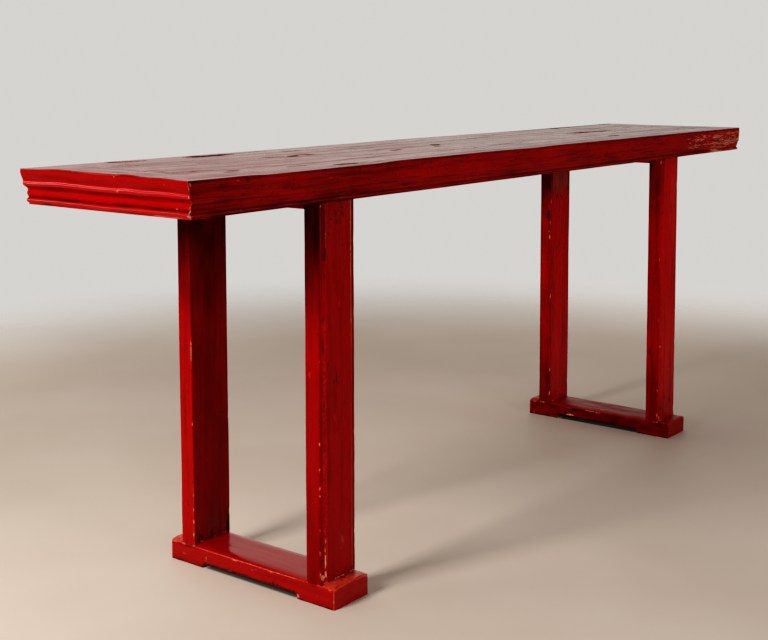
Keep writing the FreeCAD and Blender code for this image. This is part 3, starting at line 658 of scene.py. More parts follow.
# ---------------------------------------------------------------- boards of the field
def board(y0, y1):
    ys = np.concatenate([[y0 + 0.3], np.arange(y0 + 1.4, y1 - 1.2, 2.1 * COARSE), [y1 - 1.4, y1 - 0.3]])
    top = np.stack([ys, np.full(len(ys), H)], -1)
    side1 = np.array([[y1, H - 0.35], [y1, H - 8], [y1, H - 16], [y1, H - 23]])
    yb = np.linspace(y1 - 1, y0 + 1, int(16 / COARSE))
    under = np.stack([yb, np.full(len(yb), H - 24.0)], -1)
    side2 = np.array([[y0, H - 23], [y0, H - 16], [y0, H - 8], [y0, H - 0.35]])
    ring = np.concatenate([top, side1, under, side2])
    xs = both_ends(IN_X, IN_X - 30, 0.5, 3.6 * COARSE)
    nr = len(ring)
    S = np.repeat(xs[:, None], nr, 1)
    P = np.stack([S, np.repeat(ring[None, :, 0], len(xs), 0), np.repeat(ring[None, :, 1], len(xs), 0)], -1)
    on_top = np.zeros(nr, bool); on_top[:len(top)] = True
    m = np.repeat(on_top[None], len(xs), 0)
    dep, dark = np.zeros(m.shape), np.zeros(m.shape)
    tz, td = top_relief(P[..., 0][m], P[..., 1][m])
    dep[m], dark[m] = tz, td
    e = np.minimum.reduce([P[..., 1] - y0, y1 - P[..., 1], IN_X - np.abs(P[..., 0])])
    joint = bump1(e, 0, 1.1) * on_top[None]
    dep = dep + joint * 0.18
    dirt = joint * 0.42 * (0.5 + 0.5 * fbm(P[..., 0] / 40, P[..., 1] / 20, 0, 441, 2))
    nz = fbm(P[..., 0] / 120, P[..., 1] / 16, 0, 445, 3)
    wear = np.clip(0.10 + 0.22 * nz, 0, 0.4) * on_top[None]
    N = loft_normals(P)
    if N[len(xs) // 2, len(top) // 2, 2] < 0:
        N = -N
    h = np.where(on_top[None], top_waves(P, 0), fine_relief(P, 301, 0))
    P = P + slow_field(P) + N * (h - dep)[..., None]
    attrs = {"wear": wear, "dirt": dirt, "mark": dark}
    P, attrs, n = close_ends(P, attrs, (0.9, 0.5))
    fm = np.ones((P.shape[0] - 1, nr), int)
    fm[:, on_top | np.roll(on_top, -1)] = 0
    return P, attrs, fm


# ---------------------------------------------------------------- legs
def foot_top(x):
    """Height of the foot's crowned top at a distance x from its middle."""
    x = np.abs(np.asarray(x, float))
    w = FOOT_W / 2
    r = ((w - FOOT_FLAT) ** 2 + FOOT_DROP ** 2) / (2 * FOOT_DROP)
    u = np.clip(x - FOOT_FLAT, 0, w - FOOT_FLAT)
    return FOOT_H - r + np.sqrt(r * r - u * u)


def rounded(poly, radii, step, first=0.55):
    """A closed outline with rounded corners. The points are close together next to each corner."""
    pts, n = [], len(poly)
    for i in range(n):
        p0, p1, p2 = (np.array(poly[(i + k) % n], float) for k in (-1, 0, 1))
        r = radii[i]
        a, b = (p0 - p1) / np.linalg.norm(p0 - p1), (p2 - p1) / np.linalg.norm(p2 - p1)
        half = math.acos(np.clip(a @ b, -1, 1)) / 2
        cut = min(r / math.tan(half), 0.45 * min(np.linalg.norm(p0 - p1), np.linalg.norm(p2 - p1))) if r > 0 else 0
        if cut < 1e-3:
            arc = [p1]
        else:
            rr = cut * math.tan(half)
            c = p1 + (a + b) / np.linalg.norm(a + b) * (rr / math.sin(half))
            s, e = p1 + a * cut, p1 + b * cut
            t0, t1 = math.atan2(*(s - c)[::-1]), math.atan2(*(e - c)[::-1])
            dt = (t1 - t0 + math.pi) % (2 * math.pi) - math.pi
            k = 3 if rr < 0.8 else 5 if rr < 2.5 else 7
            arc = [c + rr * np.array([math.cos(t0 + dt * u), math.sin(t0 + dt * u)]) for u in np.linspace(0, 1, k)]
        pts.append(arc)
    out = []
    for i in range(n):
        arc, nxt = pts[i], pts[(i + 1) % n]
        out += arc
        L = np.linalg.norm(nxt[0] - arc[-1])
        g = grade(L / 2, first * COARSE, step, 1.55)
        g = np.concatenate([g, L - g[::-1][1:]]) / L
        out += [arc[-1] + (nxt[0] - arc[-1]) * k for k in g[1:-1]]
    return np.array(out)


LEG_ARRIS = {  # wear of the four arrises: above and below Z = 250
    "front_left_leg": ((0.30, 0.62), (0.62, 0.78), (0.3, 0.4), (0.3, 0.4)),
    "back_left_leg": ((0.3, 0.5), (0.3, 0.5), (0.26, 0.80), (0.3, 0.4)),
    "front_right_leg": ((0.34, 0.40), (0.50, 0.45), (0.3, 0.4), (0.3, 0.4)),
    "back_right_leg": ((0.3, 0.5), (0.3, 0.5), (0.40, 0.44), (0.3, 0.4)),
}
LEG_CHIPS = {  # arris (0 and 1 at the outer face, 2 and 3 at the inner face; even is the -X side), height, half length, depth
    "front_left_leg": [(0, 268, 4, 0.8), (0, 232, 6, 1.1), (0, 218, 3, 0.7), (0, 62, 9, 1.7), (0, 104, 5, 0.7), (0, 150, 4, 0.5), (1, 560, 9, 0.5),
                       (1, 700, 12, 0.5), (1, 120, 8, 0.8), (1, 90, 6, 0.7), (1, 250, 12, 0.5), (0, 320, 4, 0.5), (1, 320, 8, 0.5), (0, 480, 3, 0.5)],
    "back_left_leg": [(2, 66, 9, 1.5), (2, 92, 8, 1.2), (2, 118, 6, 0.9), (2, 300, 4, 0.5), (2, 150, 5, 0.8), (1, 60, 10, 1.0), (2, 452, 34, 0.2), (3, 90, 7, 0.7)],
    "front_right_leg": [(0, 330, 4, 1.3), (0, 60, 10, 1.3), (1, 250, 8, 0.8), (1, 60, 10, 1.2), (0, 500, 5, 0.6), (1, 700, 12, 0.8), (0, 770, 8, 1.0), (0, 130, 5, 0.8)],
    "back_right_leg": [(2, 360, 10, 0.9), (2, 70, 8, 1.2), (3, 90, 8, 0.8), (2, 640, 7, 0.6), (2, 140, 5, 0.7)],
}
LEG_DARK = {  # on the outer face: offset from the leg's middle, height, half length (up), half width, darkness
    "front_left_leg": [(-6, 757, 9, 8, .57), (-5, 741, 7, 6, .55), (-22, 748, 3, 2.6, .8), (-24, 735, 3.5, 2.8, .68), (14, 768, 3.4, 3, .9), (17, 755, 7, 4.4, .54), (-3, 722, 5, 3.4, .54), (-14, 730, 3, 2.6, .58),
                       (-12, 715, 3, 2.4, .5), (3, 733, 3.4, 2.8, .52), (9, 744, 5, 3.4, .5), (22, 766, 4, 3, .55), (-28, 760, 5, 3, .5), (-18, 722, 3, 2.2, .6), (-24, 702, 6, 3, .45), (22, 728, 7, 4, .4),
                       (-39, 760, 7, 1.2, .8), (-39.4, 733, 17, 1.5, .95), (-39.8, 712, 7, 1.2, .8), (-39.3, 681, 20, 1.6, .95),
                       (-38.6, 690, 10, 1.4, .95), (-39.5, 640, 9, 1.2, .7), (-42, 560, 12, 1.4, .7), (-43, 505, 16, 1.4, .75), (-45, 100, 22, 1.8, .9), (-45, 62, 10, 2.0, .9),
                       (16, 746, 6, 4, .4), (-14, 748, 7, 3, .4), (-30, 745, 5, 3, .5), (-6, 440, 13, 2.6, .8), (-11, 462, 16, 1.5, .5), (-32, 470, 5, 2.2, .75),
                       (-16, 520, 22, 1.6, .4), (24, 192, 5, 2.6, .6), (36, 182, 7, 1.6, .45), (-2, 255, 10, 4, .35), (-39, 345, 12, 1.4, .6), (38, 52, 5, 5, .7),
                       (4, 48, 3, 30, .5), (-20, 120, 12, 3, .3), (10, 620, 40, 1.4, .3), (26, 560, 50, 1.2, .3), (2, 690, 16, 2.5, .3), (-4, 755, 6, 9, .35)],
    "front_right_leg": [(-18, 110, 10, 4, .7), (14, 92, 9, 4, .8), (-38, 84, 20, 2, .8), (30, 150, 12, 2.4, .5), (-10, 300, 20, 2.0, .4), (-39, 200, 20, 1.6, .6), (10, 690, 18, 4, .45),
                        (-20, 730, 12, 4, .5), (28, 640, 20, 2.5, .4), (0, 768, 6, 20, .4)],
    "back_left_leg": [(0, 300, 26, 4, .5), (20, 500, 18, 3, .4), (-20, 120, 14, 6, .5), (10, 700, 20, 6, .4)],
    "back_right_leg": [(0, 260, 26, 4, .5), (-20, 480, 18, 3, .4), (20, 130, 14, 6, .5), (-10, 690, 20, 6, .4)],
}
LEG_PALE = {
    "front_left_leg": [(-41, 778, 1.8, 2.0, .92), (-47, 774, 2.2, 2.0, .95), (-38, 772, 1.7, 1.5, .88), (-36.8, 721, 4, 1.3, .9), (-37, 714, 3, 1.0, .75), (-37, 698, 3, 0.9, .7), (-41, 86, 15, 1.9, 1.0),
                       (-40.5, 62, 9, 2.0, 1.0), (-41, 110, 8, 1.5, .95), (-40.5, 128, 7, 1.2, .9), (-41, 150, 6, 1.1, .8), (-40.5, 172, 5, 1.0, .7), (-47, 56, 6, 4, .9), (6, 120, 3, 2.6, .62), (11, 110, 4, 1.6, .6), (3, 101, 2.4, 2, .55),
                       (-38, 352, 3, 1.6, .6), (-30, 330, 3, 1.6, .4), (-30, 205, 3, 1.2, .6)],
    "front_right_leg": [(-43, 254, 4, 3.2, 1.05), (-44, 52, 7, 1.8, .9), (-41, 230, 10, 1.2, .6), (-41, 200, 8, 1.2, .5), (-42, 300, 30, 1.1, .6), (12, 700, 60, 9, .54), (20, 600, 70, 8, .50), (4, 640, 90, 5, .44),
                        (26, 690, 80, 4, .58), (30, 560, 90, 2.4, .56), (8, 470, 90, 2.4, .48), (-2, 520, 60, 5, .36)],
    "back_left_leg": [(-47, 84, 26, 1.5, .85)],
    "back_right_leg": [(-47, 360, 14, 1.4, .8)],
}


def leg(name):
    end, side = name.split("_")[:2]
    sy, sx = (-1 if end == "front" else 1), (-1 if side == "left" else 1)
    cx = sx * FRAME_X
    w = LEG_W / 2
    a, b = w - FILLET, w - FILLET - BEVEL
    # v runs outward from the inner face (0) to the outer face (36) and the raised field (40)
    poly = [(-w, 0), (w, 0), (w, LEG_T), (a, LEG_T), (b, LEG_T + RISE), (-b, LEG_T + RISE), (-a, LEG_T), (-w, LEG_T)]
    rub = 3.6 if name == "front_left_leg" else 2.2        # the outer arris on the near side is rubbed round
    ring = rounded(poly, [1.5, 1.5, 2.2, 0.7, 1.0, 1.0, 0.7, rub] if side == "left" else [1.5, 1.5, 2.0, 0.7, 1.0, 1.0, 0.7, 2.0], 3.4 * COARSE)
    nr = len(ring)
    u, v = ring[:, 0], ring[:, 1]
    zb = foot_top(u) - 0.25
    g = both_ends(0.5, 0.5 - 0.035, 0.0009, 2.9 * COARSE / 744) + 0.5
    seed = {"front_left_leg": 1001, "back_left_leg": 1051, "front_right_leg": 1101, "back_right_leg": 1151}[name]
    Z = zb[None] + (H - RIM + 0.3 - zb)[None] * g[:, None]
    U = np.repeat(u[None], len(g), 0)
    Vv = np.repeat(v[None], len(g), 0)
    # uneven arrises: rounding that comes and goes, and chips
    du, dv = w - np.abs(U), np.minimum(Vv, LEG_T - Vv)
    wear, dirt, dark = np.zeros_like(U), np.zeros_like(U), np.zeros_like(U)
    push = np.zeros_like(U)
    for k, (ex, ey) in enumerate(((-w, LEG_T), (w, LEG_T), (-w, 0), (w, 0))):
        dist = np.hypot(U - ex, Vv - ey)
        soft = np.clip(0.5 + 0.9 * fbm(Z / 60, k, 0, seed + 10 + k, 3), 0.0, 1.7)
        low = smooth(240, 90, Z)
        push = np.maximum(push, (0.22 * soft + 0.30 * low * soft) * np.exp(-(dist / 1.7) ** 2))
        nzk = 0.5 + 0.5 * fbm(Z / 26, dist / 4, k, seed + 20 + k, 3)
        hi_w, lo_w = LEG_ARRIS[name][k]
        wear = np.maximum(wear, (hi_w + (lo_w - hi_w) * smooth(290, 110, Z)) * np.exp(-(dist / 1.5) ** 2) * (0.55 + 0.75 * nzk))
        for (arr, zc, hl, dp) in LEG_CHIPS[name]:
            if (arr == 0 and k == 0) or (arr == 1 and k == 1) or (arr == 2 and k == 2) or (arr == 3 and k == 3):
                m = bump1(Z + 2.5 * noise(Z / 6, U / 5, 0, seed + 30), zc, hl) * np.exp(-(dist / (2.2 + dp)) ** 2)
                push = np.maximum(push, dp * m)
                wear = np.maximum(wear, 1.1 * m)
    # edges of the raised field
    for ex in (-b, b, -a, a):
        dist = np.hypot(U - ex, Vv - (LEG_T + RISE if abs(ex) == b else LEG_T))
        nzk = 0.5 + 0.5 * fbm(Z / 34, ex, 0, seed + 41, 3)
        if abs(ex) == b:
            line = 0.34 * (1 + 0.5 * smooth(230, 80, Z))
            if ex > 0:      # the far arris of the field has lost its red high up, and keeps it at the middle
                line = 0.20 + (0.80 if name == "front_left_leg" else 0.45) * smooth(430, 560, Z) + 0.22 * smooth(260, 160, Z)
            wear = np.maximum(wear, line * np.exp(-(dist / (1.5 if ex < 0 else 1.45)) ** 2) * (0.62 + 0.6 * nzk))
        else:
            grime = (0.52 + 0.30 * smooth(540, 640, Z)) if ex < 0 else 0.62
            dirt = np.maximum(dirt, grime * np.exp(-(dist / 1.5) ** 2) * (0.5 + 0.6 * nzk))
    out = Vv > LEG_T - 1.5
    for (ox, oz, hl, hw, st) in LEG_DARK[name]:
        rr = ((U - ox) / hw) ** 2 + ((Z - oz) / hl) ** 2 + 0.6 * fbm(U / 4, Z / 9, ox, seed + 50, 2)
        dark = np.maximum(dark, out * st * (1 - smooth(0.3, 1.35, rr)))
        push = push + out * 0.35 * st * (1 - smooth(0.3, 1.35, rr))
    for (ox, oz, hl, hw, st) in LEG_PALE[name]:
        rr = ((U - ox) / hw) ** 2 + ((Z - oz) / hl) ** 2 + 0.6 * fbm(U / 3, Z / 6, ox, seed + 55, 2)
        wear = np.maximum(wear, out * st * (1 - smooth(0.3, 1.35, rr)))
    # small knocks all over
    rng = np.random.default_rng(seed)
    per = np.concatenate([[0], np.cumsum(np.linalg.norm(np.roll(ring, -1, 0) - ring, axis=1))])
    W = np.repeat(per[None, :-1], len(g), 0)
    for _ in range(46):
        zc, pc, rr_, dp = rng.uniform(50, 775), rng.uniform(0, per[-1]), rng.uniform(1.6, 5.0), rng.uniform(0.1, 0.5)
        m = np.exp(-((Z - zc) / (rr_ * rng.uniform(1, 3))) ** 2 - ((W - pc) / rr_) ** 2)
        push = push + dp * m
        if rng.random() < 0.45:
            dark = np.maximum(dark, 0.55 * m)
        elif rng.random() < 0.4:
            wear = np.maximum(wear, 0.52 * m)
    dirt = np.maximum(dirt, 0.6 * smooth(7, 0, Z - zb[None]) * (0.6 + 0.5 * noise(U / 9, Z / 4, 0, seed + 61)))
    # painted shade: a near-black band on every face just under the rail
    dirt = np.maximum(dirt, 1.15 * smooth(H - RIM - 9, H - RIM - 1, Z) * (0.68 + 0.45 * noise(U / 12, Z / 4, 0, seed + 62)))
    # pale dust and worn lacquer in the joint at the foot, patchy
    dust = smooth(4.5, 1.0, Z - zb[None]) * smooth(0.0, 0.5, fbm(U / 10, Vv / 10, 0, seed + 63, 2) + 0.1)
    wear = np.maximum(wear, 0.85 * dust)
    # painted shade: darker close under the top and low down, mostly on the near side and the inner face, by amounts set
    # for each leg
    near_side, inner = smooth(-w + 7, -w + 1.5, U), smooth(5, 0.5, Vv)
    k = {"front_left_leg": (0.82, 0.20, 0.46, 0.1, 0.6, 490, 740), "back_left_leg": (1.28, 0.0, 0.0, 0.36, 0.80, 463, 692),
         "front_right_leg": (0.88, 0.12, 0.48, 0.1, 0.3, 560, 740), "back_right_leg": (0.90, 0.42, 0.48, 0.0, 0.50, 560, 740)}[name]
    shade = near_side * (k[0] * smooth(k[5], k[6], Z) + k[1] + k[2] * smooth(280, 70, Z)) + inner * (1 - near_side) * (k[3] + k[4] * smooth(k[5] + 30, k[6], Z))
    shade = shade + 0.24 * smooth(735, 778, Z) * (1 - near_side) * (1 - inner)
    show = smooth(LEG_T - 3, LEG_T - 1.2, Vv)
    # painted shade along the fillet on the far side of the outer face
    shade = shade + show * smooth(a - 2, a + 1.5, U) * (1 - near_side) * (0.52 if side == "left" else 0.25)
    shade = shade + 0.14 * smooth(300, 60, Z) * (1 - near_side) * (1 - inner)
    # the near bevel: painted shade high up, and below Z 620 a thin rubbed tint that stands for the light it catches:
    # painted light
    bevel = show * smooth(-a - 1, -a + 1.5, U) * smooth(-b + 1, -b - 2, U)
    shade = shade + bevel * 0.62 * smooth(600, 720, Z)
    wear = np.maximum(wear, bevel * 0.30 * smooth(620, 540, Z))
    brown = np.zeros_like(U)
    if side == "right":
        shade = shade + 0.30 * smooth(160, 50, Z) * (1 - near_side)
    shade = shade * (0.9 + 0.3 * fbm(U / 30, Z / 90, Vv / 30, seed + 64, 2))
    if name == "back_right_leg":
        # a knot and split lacquer on the near side; the inner face is rubbed grey-brown at the top, with wavy open grain below
        for vo, oz, hv, hz, st in ((9, 602, 6.0, 9.0, 1.0), (9, 602, 10.0, 20.0, .55), (14, 640, 1.6, 40, .6), (5, 560, 1.8, 30, .6), (18, 520, 1.6, 36, .5), (22, 600, 2.0, 60, .45)):
            rr = ((Vv - vo) / hv) ** 2 + ((Z - oz) / hz) ** 2 + 0.5 * fbm(Vv / 4, Z / 9, oz, seed + 91, 2)
            m = near_side * st * (1 - smooth(0.35, 1.3, rr))
            dark = np.maximum(dark, m)
            push = push + 0.5 * m
        for vo, oz, hv, hz in ((4, 536, 3.0, 9.0), (7, 552, 2.2, 5.0), (3, 578, 1.6, 5.0)):
            rr = ((Vv - vo) / hv) ** 2 + ((Z - oz) / hz) ** 2 + 0.5 * fbm(Vv / 3, Z / 5, oz, seed + 92, 2)
            wear = np.maximum(wear, near_side * 0.9 * (1 - smooth(0.35, 1.3, rr)))
        grey = inner * (1 - near_side) * smooth(640, 700, Z)
        brown = grey * (0.86 + 0.4 * noise(U / 6, Z / 160, 0, seed + 96))
        wear = np.maximum(wear, grey * (0.36 + 0.5 * noise(U / 4.5, Z / 160, 0, seed + 93)))
        wavy = np.abs(noise(U / 11 + 0.9 * noise(U / 30, Z / 55, 2, seed + 94), Z / 190, 0, seed + 95))
        dark = np.maximum(dark, inner * (1 - near_side) * 0.62 * smooth(0.10, 0.02, wavy) * smooth(380, 460, Z))
    if name == "back_left_leg":
        stain = inner * smooth(150, 60, Z) * smooth(0.05, 0.55, fbm(U / 16, Z / 26, 0, seed + 97, 3) + 0.25 * smooth(-w + 26, -w + 6, U))
        dark = np.maximum(dark, 0.62 * stain)
        brown = np.maximum(brown, 0.5 * inner * smooth(120, 60, Z) * smooth(0.2, 0.6, fbm(U / 9, Z / 20, 5, seed + 98, 2)))
    if name == "front_left_leg":
        scuffed = out * np.exp(-((U - 9) / 8) ** 2 - ((Z - 114) / 13) ** 2) * smooth(-0.15, 0.35, noise(U / 2.2, Z / 5, 0, seed + 99))
        wear = np.maximum(wear, 0.66 * scuffed)
        brown = np.maximum(brown, 0.7 * scuffed)
    if name == "front_right_leg":
        for vo, oz, hv, hz, st in ((10, 240, 3.0, 14.0, .8), (28, 120, 3.0, 20, .6), (6, 660, 1.6, 50, .5)):
            rr = ((Vv - vo) / hv) ** 2 + ((Z - oz) / hz) ** 2 + 0.5 * fbm(Vv / 4, Z / 9, oz, seed + 91, 2)
            dark = np.maximum(dark, near_side * st * (1 - smooth(0.35, 1.3, rr)))
    P = np.stack([cx + U, sy * (LEG_OUT - LEG_T + Vv), Z], -1)
    N = loft_normals(P)
    mid = len(g) // 2
    if N[mid, int(np.argmax(v))] @ np.array([0, sy, 0]) < 0:
        N = -N
    h = fine_relief(P, seed + 70, 2)
    free = smooth(0, 4, np.minimum(Z - zb[None], H - RIM - Z))
    P = P + slow_field(P) + N * (h * free - push)[..., None]
    attrs = {"wear": np.clip(wear, 0, 1.2), "dirt": np.clip(dirt, 0, 1.2), "mark": np.clip(dark, 0, 1), "shade": np.clip(shade, 0, 1), "brown": np.clip(brown, 0, 1)}
    P, attrs, n = close_ends(P, attrs, (0.9, 0.5))
    y0, y1 = sorted((sy * (LEG_OUT - LEG_T / 2 - 8), sy * (LEG_OUT - LEG_T / 2 + 8)))
    parts = []
    for x0, x1 in ((-40, -10), (10, 40)):
        bv, bq = block(cx + x0 + 0.1, cx + x1 - 0.1, y0 + 0.1, y1 - 0.1, H - RIM - 4, H - RIM + 37.5)
        parts.append((bv, bq, {}, 1))
    for x0, x1 in ((-36, -21.6), (-18.4, 18.4), (21.6, 36)):     # the through tenon, split by its wedges
        bv, bq = block(cx + x0 + 0.1, cx + x1 - 0.1, y0 + 0.15, y1 - 0.15, 2.2, 50.0, 0.5)
        parts.append((bv, bq, {}, 1))
    return P, attrs, parts


# ---------------------------------------------------------------- feet
FOOT_PALE = {  # on the -X side face: y, height, half length, half width, strength
    "left_foot": [(-128, 8, 6, 2.0, 1.0), (120, 22, 1.6, 8, .8), (185, 40, 8, 1.6, .8), (-30, 38, 1.2, 1.2, .6)],
    "right_foot": [(21, 39.6, 20, 2.3, 1.12), (-6, 38, 10, 1.4, .8), (84, 17.5, 14, 2.4, 1.1), (206, 41, 12, 3.2, 1.1), (122, 4, 8, 1.4, .5)]}
FOOT_DARK = {
    "left_foot": [(-9, 28, 4, 3.4, .8), (-66, 17, 6, 3, .7), (-80, 16, 5, 2.6, .6), (-128, 11, 8, 2.4, .7), (-14, 34, 4, 3, .5), (200, 20, 10, 4, .3), (60, 20, 18, 4, .3)],
    "right_foot": [(84, 33, 34, 4.0, .72), (119, 40, 8, 3, .6), (60, 12, 30, 3, .7), (20, 28, 26, 3.4, .5), (196, 12, 12, 6, .4), (-40, 36, 22, 2, .4), (-120, 30, 16, 3, .4), (130, 5, 22, 3, .8), (104, 20, 6, 3, .8), (150, 26, 14, 3, .34), (-60, 9, 40, 2.6, .45), (180, 18, 10, 3, .36)]}


def foot(name):
    cx = FRAME_X * (-1 if name == "left_foot" else 1)
    seed = 2001 if name == "left_foot" else 2051
    w = FOOT_W / 2
    half = FOOT_L / 2
    # stations, fine at the ends, the notch's ends and the pockets of the tenons
    ys = set(np.round(both_ends(half, half - 14, 0.35, 2.0 * COARSE), 3))
    for c in (164.9, 165.1, 180.9, 181.1, 129.9, 130.0, 128.5, 126.5, 124.0, 121.0):
        ys |= {c, -c}
    ys = np.array(sorted(ys))
    keep = np.concatenate([[True], np.diff(ys) > 0.09])
    ys = ys[keep]
    xb = np.array(sorted(set(np.round(np.linspace(-w + 1.5, w - 1.5, int(30 / COARSE)), 3)) | {-36.1, -35.9, 35.9, 36.1}))
    n_side = int(15 / COARSE)
    n_top = int(46 / COARSE)
    # ring parameters: zone 0 underside, 1 +X side, 2 top, 3 -X side
    zone = np.concatenate([np.zeros(len(xb)), np.ones(n_side), np.full(n_top, 2), np.full(n_side, 3)]).astype(int)
    par = np.concatenate([xb / w, np.linspace(0, 1, n_side), np.linspace(1, -1, n_top), np.linspace(1, 0, n_side)])
    nr = len(zone)
    Y = np.repeat(ys[:, None], nr, 1)
    A = np.abs(Y)
    zu = np.where(A >= NOTCH, 0.0, np.where(A > NOTCH - NOTCH_R, NOTCH_H - NOTCH_R + np.sqrt(np.clip(NOTCH_R ** 2 - (A - NOTCH + NOTCH_R) ** 2, 0, None)), NOTCH_H))
    hw = np.where(A > half - FOOT_R, w - FOOT_R + np.sqrt(np.clip(FOOT_R ** 2 - (A - half + FOOT_R) ** 2, 0, None)), w)
    re = 3.0
    ud = np.clip(A - (half - re), 0, re)
    end_drop = re - np.sqrt(np.clip(re * re - ud * ud, 0, None))
    # side arrises: rounding that changes along the foot
    soft = 0.9 + 0.7 * fbm(Y / 32, 0, 0, seed + 1, 3)
    X, Z = np.zeros_like(Y), np.zeros_like(Y)
    z_edge = FOOT_H - FOOT_DROP
    m0, m1, m2, m3 = (zone == k for k in range(4))
    X[:, m0] = par[m0][None] * hw[:, m0]
    Z[:, m0] = zu[:, m0]
    pocket = (A > 165.0) & (A < 181.0) & (np.abs(X) < 36.0) & (zone == 0)[None]
    Z = np.where(pocket, 2.9, Z)
    for m, s in ((m1, 1), (m3, -1)):
        p = par[m][None]
        lo = zu[:, m] + 0.7
        hi = z_edge - end_drop[:, m] - 1.2
        X[:, m] = s * hw[:, m]
        Z[:, m] = lo + (hi - lo) * p
    p = par[m2][None]
    xs_ = p * (hw[:, m2] - 0.35)
    X[:, m2] = xs_
    Z[:, m2] = foot_top(xs_) - end_drop[:, m2]
    # the top is worn hollow between the legs, and its long edges are rounded by wear
    dist_e = np.hypot(np.clip(hw - np.abs(X), 0, None), np.clip(z_edge - end_drop - Z, 0, None))
    topside = (zone != 0)[None] & (Z > 14)
    round_ = np.exp(-(dist_e / 2.1) ** 2) * topside
    worn = smooth(150, 110, A)
    sgn = np.sign(X)
    X = X - sgn * round_ * (0.45 * soft + 0.25 * worn)
    Z = Z - round_ * (0.35 * soft + 0.25 * worn)
    Z = Z - (zone == 2)[None] * worn * 0.7 * (0.7 + 0.3 * noise(Y / 80, X / 60, 0, seed + 2))
    wear, dirt, dark = np.zeros_like(Y), np.zeros_like(Y), np.zeros_like(Y)
    nz = 0.5 + 0.5 * fbm(Y / 24, Z / 6, X / 30, seed + 3, 3)
    # the long top edges are worn pale; on the left foot the line is strong enough to stand for the edge's highlight
    # too: partly painted highlight
    wear = np.maximum(wear, np.exp(-(dist_e / 0.95) ** 2) * topside * ((0.68 + 0.20 * worn) * (0.86 + 0.28 * nz) if name == "left_foot" else 0.42 * (0.6 + 0.6 * nz)))
    wear = np.maximum(wear, np.exp(-((np.abs(np.abs(X) - (w - 1.1)) + np.abs(A - (half - 1.1))) / 2.0) ** 2) * (0.45 + 0.4 * nz) * (1.0 if name == "left_foot" else 0.45) * (zone != 0)[None])
    low = (zone != 0)[None] * np.exp(-((Z - zu) / 2.0) ** 2)
    wear = np.maximum(wear, low * (0.34 if name == "left_foot" else 0.16) * (0.3 + 0.9 * nz))
    wear = np.maximum(wear, np.exp(-(ud - re) ** 2 / 1.2) * (zone == 2)[None] * (A > half - re - .5) * (0.4 + 0.3 * nz))
    chips = [(-128, 5, 7, 1.5), (214, 40, 7, 1.6), (-214, 40, 5, 1.0), (-60, 39, 8, .8), (40, 39, 10, .7)] if name == "left_foot" else [
        (124, 4, 18, 1.6), (150, 3, 8, 1.4), (208, 40, 8, 2.4), (96, 36, 16, 1.0), (-100, 39, 12, .8), (-214, 41, 7, 1.4)]
    push = np.zeros_like(Y)
    for (yc, zc, r, dp) in chips:
        m = np.exp(-((Y - yc + 2 * noise(Y / 5, Z / 5, 0, seed + 4)) / r) ** 2 - ((Z - zc) / 3.2) ** 2) * (zone == 3)[None]
        push = np.maximum(push, dp * m)
        wear = np.maximum(wear, (1.05 if name == "left_foot" else 0.40) * m)
    for (yc, zc, hl, hw_, st) in FOOT_PALE[name]:
        rr = ((Y - yc) / hl) ** 2 + ((Z - zc) / hw_) ** 2 + 0.6 * fbm(Y / 4, Z / 3, yc, seed + 6, 2)
        wear = np.maximum(wear, (zone == 3)[None] * st * (1 - smooth(0.3, 1.35, rr)))
    for (yc, zc, hl, hw_, st) in FOOT_DARK[name]:
        rr = ((Y - yc) / hl) ** 2 + ((Z - zc) / hw_) ** 2 + 0.6 * fbm(Y / 4, Z / 3, yc, seed + 7, 2)
        m = (zone == 3)[None] * st * (1 - smooth(0.3, 1.35, rr))
        dark = np.maximum(dark, m)
        push = push + 0.4 * m
    # dirt where the legs stand on the foot
    under_leg = np.minimum(np.abs(A - 155.0), np.abs(A - 194.0)) + np.clip(np.abs(X) - 53, 0, None)
    crumbs = 0.75 + 0.55 * noise(Y / 5, X / 6, 0, seed + 17)
    dirt = np.maximum(dirt, (zone == 2)[None] * 0.95 * np.exp(-(under_leg / 4.2) ** 2) * crumbs)
    wear = np.maximum(wear, (zone == 2)[None] * np.exp(-((under_leg - 1.5) / 2.0) ** 2) * 0.9 * smooth(0.15, 0.6, noise(Y / 4, X / 4, 3, seed + 18)))
    lip = (zone == 3)[None] * smooth(z_edge - 9, z_edge - 2, Z) * np.exp(-(np.maximum(np.abs(A - 176.0) - 20, 0) / 7.0) ** 2)
    dirt = np.maximum(dirt, 0.95 * lip * smooth(-0.1, 0.5, fbm(Y / 8, Z / 4, 0, seed + 19, 2)))
    # dirt and painted shade: the underside, and the lowest band of the sides over the floor, are darkened
    dirt = np.maximum(dirt, (zone == 0)[None] * 0.5)
    sole = (zone != 0)[None] * np.exp(-((Z - zu) / 5.4) ** 2)
    dirt = np.maximum(dirt, sole * (0.88 + 0.5 * noise(Y / 14, Z / 5, X / 14, seed + 16)))
